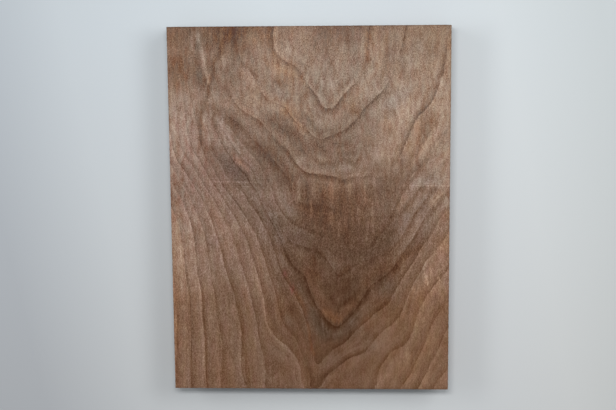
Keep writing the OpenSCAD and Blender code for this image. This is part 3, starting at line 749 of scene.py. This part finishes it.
        (3.5, 0.06, -0.1, [(224, 48), (232, 58), (240, 66), (247, 73)]),
        (5, 0.05, 0, [(226, 6), (236, 20), (248, 34), (258, 44)]),
        (1.8, -0.16, 0.2, [(240, 193), (245, 203), (252, 220), (262, 235), (272, 247), (279, 257)]),
        (1.6, -0.17, 0.2, [(279, 257), (286, 266), (293, 275), (300, 286)]),
        (5, 0.06, -0.3, [(264, 231), (288, 234)]),
        (1.6, -0.18, 0.2, [(250, 196), (256, 204), (264, 214), (272, 224), (277, 229)]),
        (1.6, -0.16, 0.3, [(264, 195), (273, 205), (281, 216), (288, 226)]),
        (1.5, -0.16, 0.2, [(280, 193), (288, 202), (294, 210), (303, 221)]),
        (3, 0.06, 0.5, [(248, 204), (256, 216)]),
        (3.5, 0.06, 0.6, [(284, 208), (294, 220)]),
        (1.3, -0.1, 0.1, [(283, 236), (286, 240)]),
        (2, -0.1, 0.4, [(246, 266), (254, 276)]),
        (5, 0.06, 0.1, [(274, 262), (282, 274), (290, 284)]),
        (1.6, -0.15, 0.2, [(269, 262), (273, 274), (280, 286), (290, 296)]),
        (1.7, -0.13, 0.4, [(294, 345), (296, 360), (299, 372), (303, 384)]),
        (2.5, 0.06, 0.1, [(300, 356), (303, 366)]),
        (2.4, -0.07, 0.4, [(211, 352), (214, 365), (216, 398)]),
        (4, -0.05, 0.2, [(40, 268), (55, 267)]),
    ],
}


def ringField(lines, smoothing):
    # thin plate spline through the rings' points, and a plainer surface through them for the far face
    points = np.array([point for ring in lines.values() for point in ring], float)
    rings = np.array([ring for ring, line in lines.items() for _ in line], float)
    count = len(points)
    power = 4                 # highest power of the plainer surface
    halfFace = (150, 200)     # mm, about half the face, so that its powers stay small
    batch = 20000             # points worked out at a time

    def kernel(squared):
        return 0.5 * squared * np.log(np.maximum(squared, 1e-9))

    def plain(where):
        x, y = (where / halfFace - 1).T
        return np.stack([x ** i * y ** j for i in range(power + 1) for j in range(power + 1 - i)], 1)

    between = ((points[:, None] - points[None]) ** 2).sum(-1)
    linear = np.c_[np.ones(count), points]
    system = np.zeros((count + 3, count + 3))
    system[:count, :count] = kernel(between) + smoothing * np.eye(count)
    system[:count, count:] = linear
    system[count:, :count] = linear.T
    weights = np.linalg.solve(system, np.r_[rings, 0, 0, 0])
    plainWeights = np.linalg.lstsq(plain(points), rings, rcond=None)[0]

    def near(where):
        found = np.empty(len(where))
        for start in range(0, len(where), batch):
            part = where[start:start + batch]
            squared = ((part[:, None] - points[None]) ** 2).sum(-1)
            found[start:start + batch] = kernel(squared) @ weights[:count] + (
                np.c_[np.ones(len(part)), part] @ weights[count:])
        return found

    def far(where):
        return plain(where) @ plainWeights

    return near, far


def paint(where, sunk, columnWidth, values):
    # what patches, spots and strokes add at each point; they fade with depth, strokes much sooner
    painted = {name: np.zeros(len(where)) for name in values["patches"]}
    # fibres begin and end unevenly, so each column of points is moved along the grain by its own amount
    columns = np.round(where[:, 0] / columnWidth).astype(int)
    moves = np.random.default_rng(values["raggedSeed"]).normal(0, values["ragged"], columns.max() + 1)
    where = where + np.stack([np.zeros(len(where)), moves[columns]], 1)

    def soft(x, y, halfWidth, halfHeight, degrees=0):
        cos, sin = math.cos(math.radians(degrees)), math.sin(math.radians(degrees))
        apart = where - (x, y)
        across = apart @ (cos, sin) / halfWidth
        along = apart @ (-sin, cos) / halfHeight
        return np.exp(-(across ** 2 + along ** 2)) * (1 - sunk)

    for name, patches in values["patches"].items():
        for *shape, amount in patches:
            painted[name] += amount * soft(*shape)
    for x, y, halfWidth, tone, warmth in values["spots"]:
        shape = soft(x, y, halfWidth, halfWidth)
        painted["tone"] += tone * shape
        painted["warmth"] += warmth * shape
    washEnds = [values["washStart"], values["washEnd"]]
    washed = 1 + values["washBoost"] * np.interp(where[:, 1], washEnds, [0, 1])
    drawn = np.zeros(len(where))
    for halfWidth, tone, warmth, line in values["strokes"]:
        nearest = np.full(len(where), np.inf)
        for start, end in zip(np.array(line[:-1], float), np.array(line[1:], float)):
            step = end - start
            share = np.clip((where - start) @ step / (step @ step), 0, 1)
            nearest = np.minimum(nearest, ((where - start - share[:, None] * step) ** 2).sum(1))
        shape = np.exp(-(nearest / halfWidth ** 2) ** values["strokeEdge"])
        shape *= np.clip(1 - values["strokeDepth"] * sunk, 0, 1)
        drawn += tone * shape * washed
        painted["warmth"] += warmth * shape
    limit = values["strokeLimit"]
    painted["tone"] += np.maximum(drawn, -limit * np.tanh(-drawn / limit))
    return painted


def growRings(item, values, columnWidth):
    mesh = item.data
    flat = np.empty(len(mesh.vertices) * 3, np.float32)
    mesh.vertices.foreach_get("co", flat)
    places = flat.reshape(-1, 3).astype(float)
    where = (places[:, :2] - np.array(low[:2])) / mm
    depth = (high.z - places[:, 2]) / mm
    sunk = depth / (size.z / mm)
    near, far = ringField(values["ringLines"], values["smoothing"])

    def rings(across=0.0, along=0.0):
        moved = where + (across, along)
        return near(moved) * (1 - sunk) + far(moved) * sunk - depth / values["ringWidth"]

    grown = rings()
    # rings per mm along each face, which sets how wide a line may be drawn there
    steps = np.stack([rings(across=1.0) - grown, rings(along=1.0) - grown,
                      np.full(len(grown), 1 / values["ringWidth"])], 1)
    inside = np.c_[where, depth]
    fromFaces = np.minimum(inside, np.array(size) / mm - inside)
    steps[np.arange(len(grown)), fromFaces.argmin(1)] = 0  # the way through the face doesn't count
    spacing = 1 / np.maximum(np.linalg.norm(steps, axis=1), 1e-4)
    painted = paint(where, sunk, columnWidth, values)
    numbers = list(values["ringBoldness"])
    strength = np.interp(np.round(grown), numbers, [values["ringBoldness"][n] for n in numbers])
    painted["bold"] = strength * np.clip(1 + painted["bold"], -1, 2)
    painted["ring"] = grown
    painted["reach"] = np.maximum(spacing, values["lineReach"])
    for name, amounts in painted.items():
        attribute = mesh.attributes.new(name, "FLOAT", "POINT")
        attribute.data.foreach_set("value", amounts.astype(np.float32))
    print("rings grown:", round(float(grown.min()), 1), "to", round(float(grown.max()), 1))


walnut = {
    # from the darkest late wood lines and pores to the palest early wood
    "palette": [(0.05, "#45250d"), (0.3, "#654631"), (0.52, "#836451"), (0.74, "#a18370"), (1.0, "#c9b1a4")],
    "paintedSheen": "#d6dccc",                # colour of the painted sheen of the fibres that dip under the surface
    "stainPull": (0.05, -0.11, -0.30),  # share by which a full warm stain changes red, green and blue
    "rosePull": (0.025, -0.20, 0.03),   # the same for the rosier and greener wood in between
    # Layers of smooth noise: mm across the grain and along it, detail, and what is added to the seed, where
    # the bands further down add 8 to 10
    "layers": {
        "fibre": (0.8, 9.0, 1.0, 0),         # drawn coarser than real fibres so that they show
        "fleck": (0.6, 1.5, 0.0, 1),
        "streak": (2.6, 60.0, 2.0, 2),
        "tongue": (2.2, 26.0, 1.0, 3),       # along these flames draw the rings out
        "cloud": (26.0, 40.0, 3.0, 4),
        "sway": (12.0, 30.0, 2.0, 5),        # bends the rings
        "paintedShimmer": (18.0, 5.0, 1.0, 6),      # painted shimmer: bands of lighter and darker tone where fibres dipping under the surface catch the light
        "patchy": (16.0, 45.0, 2.0, 7),      # where lines are plain and where they are faint
        "blotch": (5.0, 13.0, 1.0, 12),
        "crossMark": (90.0, 0.9, 1.0, 13),   # left by the planer; drawn as lines of painted sheen in the tone
        "zone": (30.0, 55.0, 2.0, 15),       # warm and grey stains
        "rosy": (7.0, 20.0, 2.0, 16),
    },
    "ringShares": {"sway": 0.14, "fibre": 0.10},  # rings by which the first bends and the second frays lines
    # tone across a ring's line, where 0.5 changes nothing: late wood darkens slowly towards a sharp outer
    # side, and pale early wood follows it
    "lineProfile": [(0.0, 0.5), (0.12, 0.475), (0.30, 0.435), (0.44, 0.37), (0.50, 0.335), (0.54, 0.54),
                    (0.58, 0.58), (0.70, 0.55), (0.86, 0.52), (1.0, 0.5)],
    "patchiness": (0.45, 1.55),        # how faint and how plain patchy makes a line
    "bandSize": (55, 80),              # mm over which the bands that follow the rings change
    "wideStretch": (2.3, 1, 1),        # how often wide and narrow bands come, by ring and by those sizes
    "narrowStretch": (8, 2.2, 2.2),
    "bandShares": (0.30, 0.24),        # contrast of the wide and of the narrow ones
    "ringDrift": 0.05,                 # how much a ring darkens from its early wood to its late wood
    "breakUp": 1.7,                    # how much blotches break up lines and marks
    "fineShares": {"fleck": 0.7, "fibre": 0.18},  # the fine part that the grain marks strengthen
    # the shimmer share adds painted shimmer to the tone
    "toneShares": {"fibre": 0.08, "streak": 0.1, "blotch": 0.13, "cloud": 0.34, "paintedShimmer": 0.07},
    "flameTone": 0.35,                 # of the fibres along which flames draw the rings out
    "poreTone": -0.05,
    "baseTone": 0.475,
    "poreSize": (1.2, 6.0),            # mm between pores across the grain and along it
    "poreWidth": (0.36, 0.22),         # in early and in late wood, as a share of that spacing
    "poreEdge": 0.12,                  # how soft their sides are
    "crossSheen": 0.16,                 # tone of the painted sheen along the planer's cross marks
    "dipSheen": 0.10,                   # tone of the painted highlight along the line where the cutter head dipped
    "dipWidth": (1.3, 0.2),            # mm from that line, where it begins to show and where it is full
    "stainShares": (1.1, 1.5, -1.1),   # how much bands, zones and dark marks stain the wood
    "paintedGlintShares": (2.0, 3.6, 1.5),    # how much flecks, blotches and drawn marks vary the painted sheen
    "fibreHeight": 0.6,                # as a share of the depth of a pore
    "seed": 3.0,
}


def scaled(tree, vector, across, along):
    # the vector in steps of so many mm, with the same step through the thickness as across the grain
    steps = (1 / (across * mm), 1 / (along * mm), 1 / (across * mm))
    return addNode(tree, "ShaderNodeVectorMath", {1: steps}, {0: vector}, operation="MULTIPLY")


def noiseAt(tree, vector, seed, detail=2.0):
    # smooth noise about zero, from -0.5 to 0.5
    noise = addNode(tree, "ShaderNodeTexNoise", {"Scale": 1.0, "Detail": detail, "W": seed},
                    {"Vector": vector}, noise_dimensions="4D")
    return addNode(tree, "ShaderNodeMath", {1: 0.5}, {0: noise}, operation="SUBTRACT")


def walnutGroup(values, marks, cut):
    # colour and surface height of the wood at a point, whichever way it was cut
    tree = bpy.data.node_groups.new("walnutWood", "ShaderNodeTree")
    for name, kind in (("Color", "Color"), ("Height", "Float"), ("Pore", "Float")):
        tree.interface.new_socket(name, in_out="OUTPUT", socket_type="NodeSocket" + kind)
    place = addNode(tree, "ShaderNodeTexCoord").outputs["Object"]
    seed = values["seed"]
    given = {name: addNode(tree, "ShaderNodeAttribute", attribute_name=name).outputs["Fac"]
             for name in ("ring", "reach", *marks["patches"])}
    noise = {name: noiseAt(tree, scaled(tree, place, across, along), seed + step, detail)
             for name, (across, along, detail, step) in values["layers"].items()}

    def addShares(total, *parts):
        # the total with a share of each part added to it
        for part, share in parts:
            total = addNode(tree, "ShaderNodeMath", {1: share}, {0: part, 2: total}, operation="MULTIPLY_ADD")
        return total

    def shares(key):
        return [(noise[name], share) for name, share in values[key].items()]

    def multiply(first, *others):
        for other in others:
            first = addNode(tree, "ShaderNodeMath", links={0: first, 1: other}, operation="MULTIPLY")
        return first

    # where the point lies in its ring, and how far from the ring's line
    drawnOut = multiply(given["flame"], noise["tongue"])
    ringPlace = addShares(given["ring"], *shares("ringShares"), (drawnOut, 1))
    inRing = addNode(tree, "ShaderNodeMath", links={0: ringPlace}, operation="FRACT")
    outer = addNode(tree, "ShaderNodeMath", {1: 0.5}, {0: inRing}, operation="GREATER_THAN")
    fromLine = addNode(tree, "ShaderNodeMath", links={0: inRing, 1: outer}, operation="SUBTRACT")
    side = addNode(tree, "ShaderNodeMath", links={0: given["bold"]}, operation="SIGN")
    boldness = addNode(tree, "ShaderNodeMath", links={0: given["bold"]}, operation="ABSOLUTE")
    lineDistance = multiply(fromLine, side, given["reach"])
    lineShare = addNode(tree, "ShaderNodeMath", {1: 1 / marks["lineReach"], 2: 0.5}, {0: lineDistance},
                        operation="MULTIPLY_ADD")

    profile = addNode(tree, "ShaderNodeValToRGB", links={0: lineShare}, stops=values["lineProfile"])
    swing = addNode(tree, "ShaderNodeMath", {1: 0.5}, {0: profile}, operation="SUBTRACT")
    faint, plain = values["patchiness"]
    usual = 0.22  # smooth noise seldom swings further than this
    strength = addNode(tree, "ShaderNodeMapRange", {
        "From Min": -usual, "From Max": usual, "To Min": faint, "To Max": plain}, {"Value": noise["patchy"]})
    ringTone = multiply(swing, strength, boldness)
    drift = addNode(tree, "ShaderNodeMath", {0: 0.5}, {1: inRing}, operation="SUBTRACT")  # paler to darker

    # bands of lighter, darker, redder and greyer wood that follow the rings
    parts = addNode(tree, "ShaderNodeSeparateXYZ", links={0: scaled(tree, place, *values["bandSize"])})
    ringSpace = addNode(tree, "ShaderNodeCombineXYZ", links={
        0: ringPlace, 1: parts.outputs[0], 2: parts.outputs[1]})
    wide = addNode(tree, "ShaderNodeVectorMath", {1: values["wideStretch"]}, {0: ringSpace},
                   operation="MULTIPLY")
    narrow = addNode(tree, "ShaderNodeVectorMath", {1: values["narrowStretch"]}, {0: ringSpace},
                     operation="MULTIPLY")
    wideBand, narrowBand, hueBand = (
        noiseAt(tree, space, seed + step) for space, step in ((wide, 8), (narrow, 9), (wide, 10)))
    bandShare = addNode(tree, "ShaderNodeMath", {1: 1.0}, {0: boldness}, operation="MINIMUM")

    # pores: short open grooves on a face, dots on an end, thickest in the early wood
    pores = addNode(tree, "ShaderNodeTexVoronoi", {"Scale": 1.0, "Randomness": 1.0},
                    {"Vector": scaled(tree, place, *values["poreSize"])})
    early, late = values["poreWidth"]
    width = addNode(tree, "ShaderNodeMapRange", {"To Min": early, "To Max": late}, {"Value": inRing})
    poreEdge = addNode(tree, "ShaderNodeMath", links={0: width, 1: pores.outputs["Distance"]},
                       operation="SUBTRACT")
    pore = addNode(tree, "ShaderNodeMapRange", {"From Max": values["poreEdge"]}, {"Value": poreEdge},
                   interpolation_type="SMOOTHSTEP")

    # painted sheen of the planer's cross marks: faint lighter and darker lines all over, and one pale line of
    # painted highlight where the cutter head dipped, whose step is also cut into the geometry
    spot = addNode(tree, "ShaderNodeSeparateXYZ", links={0: place})
    slant, line = cut["numbers"]["Snipe Slant"], cut["lengths"]["Snipe Place"] * mm
    dipLine = addNode(tree, "ShaderNodeMath", {1: -slant, 2: -line}, {0: spot.outputs[0]},
                      operation="MULTIPLY_ADD")
    dipOffset = addNode(tree, "ShaderNodeMath", links={0: spot.outputs[1], 1: dipLine}, operation="ADD")
    dipDistance = addNode(tree, "ShaderNodeMath", links={0: dipOffset}, operation="ABSOLUTE")
    start, full = values["dipWidth"]
    dipShare = addNode(tree, "ShaderNodeMapRange", {"From Min": start * mm, "From Max": full * mm},
                       {"Value": dipDistance})
    crossed = addNode(tree, "ShaderNodeMath", {1: values["crossSheen"]}, {0: noise["crossMark"]},
                      operation="MULTIPLY")
    markSheen = multiply(addShares(crossed, (dipShare, values["dipSheen"])), given["markSheen"])

    # everything adds up to one value from dark to light
    drifted = addNode(tree, "ShaderNodeMath", {1: values["ringDrift"]}, {0: drift}, operation="MULTIPLY")
    bands = addShares(drifted, *zip((wideBand, narrowBand), values["bandShares"]))
    broken = addNode(tree, "ShaderNodeMath", {1: values["breakUp"], 2: 1.0}, {0: noise["blotch"]},
                     operation="MULTIPLY_ADD")
    drawn = multiply(broken, addShares(given["tone"], (ringTone, 1)))
    (fleck, fleckShare), fibrePart = shares("fineShares")
    flecked = addNode(tree, "ShaderNodeMath", {1: fleckShare}, {0: fleck}, operation="MULTIPLY")
    fine = addShares(flecked, fibrePart)
    grained = addNode(tree, "ShaderNodeMath", links={0: given["grain"], 1: fine, 2: fine},
                      operation="MULTIPLY_ADD")
    value = addShares(multiply(bands, bandShare), (drawn, 1), (markSheen, 1), (drawnOut, values["flameTone"]),
                      (grained, 1), *shares("toneShares"), (pore, values["poreTone"]))
    value = addNode(tree, "ShaderNodeMath", {1: values["baseTone"]}, {0: value}, operation="ADD")
    colour = addNode(tree, "ShaderNodeValToRGB", links={0: value}, stops=values["palette"])

    # stains: warm where sap and pitch stayed and in dark marks, grey where minerals did
    darkened = addNode(tree, "ShaderNodeMath", {1: 0.0}, {0: drawn}, operation="MINIMUM")
    stain = addShares(given["warmth"], *zip((hueBand, noise["zone"], darkened), values["stainShares"]))
    pull = addNode(tree, "ShaderNodeVectorMath", {1: values["stainPull"], 2: (1, 1, 1)}, {0: stain},
                   operation="MULTIPLY_ADD")
    rose = addShares(given["rose"], (noise["rosy"], 1))
    pull = addNode(tree, "ShaderNodeVectorMath", {1: values["rosePull"]}, {0: rose, 2: pull},
                   operation="MULTIPLY_ADD")
    stained = addNode(tree, "ShaderNodeVectorMath", links={0: colour, 1: pull}, operation="MULTIPLY")

    # painted sheen: the colour is mixed towards pale grey for the sheen of the fibres that dip under the
    # surface, in flecks, and least on the dark late wood
    fleckGlint, blotchGlint, drawnGlint = values["paintedGlintShares"]
    paintedGlint = addNode(tree, "ShaderNodeMath", {1: fleckGlint, 2: 1.0}, {0: noise["fleck"]},
                    operation="MULTIPLY_ADD")
    paintedGlint = addShares(paintedGlint, (noise["blotch"], blotchGlint), (drawn, drawnGlint))
    sheen = addNode(tree, "ShaderNodeMath", {1: 0.0}, {0: multiply(paintedGlint, given["paintedSheen"])},
                    operation="MAXIMUM")
    # the painted sheen is mixed into the wood's colour here
    paintedSheenColour = addNode(tree, "ShaderNodeMix", {7: toLinear(values["paintedSheen"])}, {0: sheen, 6: stained},
                       data_type="RGBA")

    hollow = addNode(tree, "ShaderNodeMath", {1: -1.0}, {0: pore}, operation="MULTIPLY")
    height = addShares(hollow, (noise["fibre"], values["fibreHeight"]))
    addNode(tree, "NodeGroupOutput", links={"Color": paintedSheenColour.outputs[2], "Height": height, "Pore": pore})
    return tree


# One wood, three ways to cut it: strength of the bump and its depth in mm, and how rough and how glossy the
# tool left it
finishes = {
    # closed, even, with a low sheen that breaks up over the pores, and the cutter's ripples across it
    "planed walnut": {"bump": (0.5, 0.15), "roughness": 0.42, "poreRoughness": 0.6, "gloss": 0.19},
    # off the band saw along the grain: dull, a little furry, with marks across the edge
    "band sawn walnut edge": {"bump": (0.8, 0.3), "roughness": 0.8, "gloss": 0.5},
    # off the saw across the grain: the open ends of the pores drink the light, so it is the darkest surface
    "sawn walnut end grain": {"bump": (0.8, 0.3), "roughness": 0.85, "gloss": 0.5,
                              "shade": (0.62, 0.6, 0.58, 1.0)},
}
bareWoodIor = 1.45


def cutWalnut(name, wood, values):
    material = newMaterial(name)
    tree = material.node_tree
    grain = addNode(tree, "ShaderNodeGroup", node_tree=wood)
    strength, depth = values["bump"]
    bump = addNode(tree, "ShaderNodeBump", {"Strength": strength, "Distance": depth * mm},
                   {"Height": grain.outputs["Height"]})
    links = {"Base Color": grain.outputs["Color"], "Normal": bump}
    if "poreRoughness" in values:
        links["Roughness"] = addNode(tree, "ShaderNodeMapRange", {
            "To Min": values["roughness"], "To Max": values["poreRoughness"]},
            {"Value": grain.outputs["Pore"]})
    if "shade" in values:
        shaded = addNode(tree, "ShaderNodeMix", {0: 1.0, 7: values["shade"]}, {6: grain.outputs["Color"]},
                         data_type="RGBA", blend_type="MULTIPLY")
        links["Base Color"] = shaded.outputs[2]
    surface = addNode(tree, "ShaderNodeBsdfPrincipled", {
        "IOR": bareWoodIor, "Roughness": values["roughness"], "Specular IOR Level": values["gloss"]}, links)
    addNode(tree, "ShaderNodeOutputMaterial", links={0: surface})
    return material


wood = walnutGroup(walnut, figure, block)
print("walnut mixed from", len(walnut["layers"]), "layers of noise and the rings' own bands")
blankPiece = makeBlock(block, [cutWalnut(name, wood, finish) for name, finish in finishes.items()])
growRings(blankPiece, figure, block["cells"][0])
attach(blankPiece, "root")
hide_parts("blank")

studio = {
    "floorWidth": 0.72,                      # m across which the floor's colours run, from left to right
    # painted light falloff: the floor's colours are darkest at the left and a little darker at the right
    "floorFalloffColours": [(0.0, "#aeb2b7"), (0.17, "#c2c6c9"), (0.5, "#cdd2d5"), (0.7, "#cbcfd2"),
                     (0.85, "#cccfd0"), (1.0, "#c3c6c6")],
    "floorSlant": 0.2,                       # how far they lean to the left towards the far end
    # painted light: the share of red, green and blue kept at the blank's near end and at its far end, so the
    # floor turns a little lighter and bluer towards the far end
    "floorPaintedLight": ((1.08, 1.065, 1.045), (1.073, 1.105, 1.123)),
    "floorReach": 4.0,                       # m from the middle to each side
    "worldColour": "#e6ebf0",
    "worldStrength": 0.26,
    # softboxes: where they hang, in m from the blank's middle, their sides and their power; the strip beyond
    # the far end draws the thin dark shadow at the near one, the two at the sides the broad pale ones
    "lamps": {
        "strip": ((0.0, 0.345, 1.35), (0.33, 0.12), 8.3),
        "right": ((0.65, 0.42, 1.1), (0.7, 0.5), 5.4),
        "left": ((-0.95, 0.35, 1.1), (0.8, 0.4), 4.4),
    },
}


def paintedBoard(values):
    # board with matt paint: pale, without gloss, so that soft shadows show on it; its colour holds painted
    # light, darker towards the left and lighter and bluer towards the far end
    material = newMaterial("matt painted board")
    tree = material.node_tree
    place = addNode(tree, "ShaderNodeTexCoord").outputs["Object"]
    spot = addNode(tree, "ShaderNodeSeparateXYZ", links={0: place})
    leaning = addNode(tree, "ShaderNodeMath", {1: values["floorSlant"]},
                      {0: spot.outputs[1], 2: spot.outputs[0]}, operation="MULTIPLY_ADD")
    across = addNode(tree, "ShaderNodeMath", {1: 1 / values["floorWidth"], 2: 0.5}, {0: leaning},
                     operation="MULTIPLY_ADD")
    colour = addNode(tree, "ShaderNodeValToRGB", links={0: across}, stops=values["floorFalloffColours"])
    far = addNode(tree, "ShaderNodeMapRange", {"From Min": low.y, "From Max": high.y},
                  {"Value": spot.outputs[1]})
    nearPaintedLight, farPaintedLight = (Vector(shade) for shade in values["floorPaintedLight"])
    # painted light: the floor's colour is scaled from its near end to its far end
    shade = addNode(tree, "ShaderNodeVectorMath", {1: farPaintedLight - nearPaintedLight, 2: nearPaintedLight}, {0: far},
                    operation="MULTIPLY_ADD")
    paintedLightColour = addNode(tree, "ShaderNodeVectorMath", links={0: colour, 1: shade}, operation="MULTIPLY")
    surface = addNode(tree, "ShaderNodeBsdfPrincipled", {"Roughness": 0.9, "Specular IOR Level": 0.2},
                      {"Base Color": paintedLightColour})
    addNode(tree, "ShaderNodeOutputMaterial", links={0: surface})
    return material


def makeFloor(values):
    reach = values["floorReach"]
    mesh = bpy.data.meshes.new("floor")
    corners = [(x * reach, y * reach, low.z) for x, y in ((-1, -1), (1, -1), (1, 1), (-1, 1))]
    mesh.from_pydata(corners, [], [(0, 1, 2, 3)])
    mesh.materials.append(paintedBoard(values))
    addItem("floor", mesh)


def addSoftbox(name, place, sides, power):
    data = bpy.data.lights.new(name, "AREA")
    data.shape = "RECTANGLE"
    data.size, data.size_y = sides
    data.energy = power
    item = addItem(name, data)
    where = Vector(place)
    item.matrix_world = Matrix.Translation(where) @ (-where).to_track_quat("-Z", "Y").to_matrix().to_4x4()


def lightScene(values):
    world = bpy.data.worlds.new("studio")
    bpy.context.scene.world = world
    world.use_nodes = True
    tree = world.node_tree
    tree.nodes.clear()
    sky = addNode(tree, "ShaderNodeBackground", {
        "Color": toLinear(values["worldColour"]), "Strength": values["worldStrength"]})
    addNode(tree, "ShaderNodeOutputWorld", links={0: sky})
    for name, (place, sides, power) in values["lamps"].items():
        addSoftbox(name, place, sides, power)


makeFloor(studio)
lightScene(studio)
bpy.context.scene.view_settings.view_transform = "Standard"
print("floor and light set")
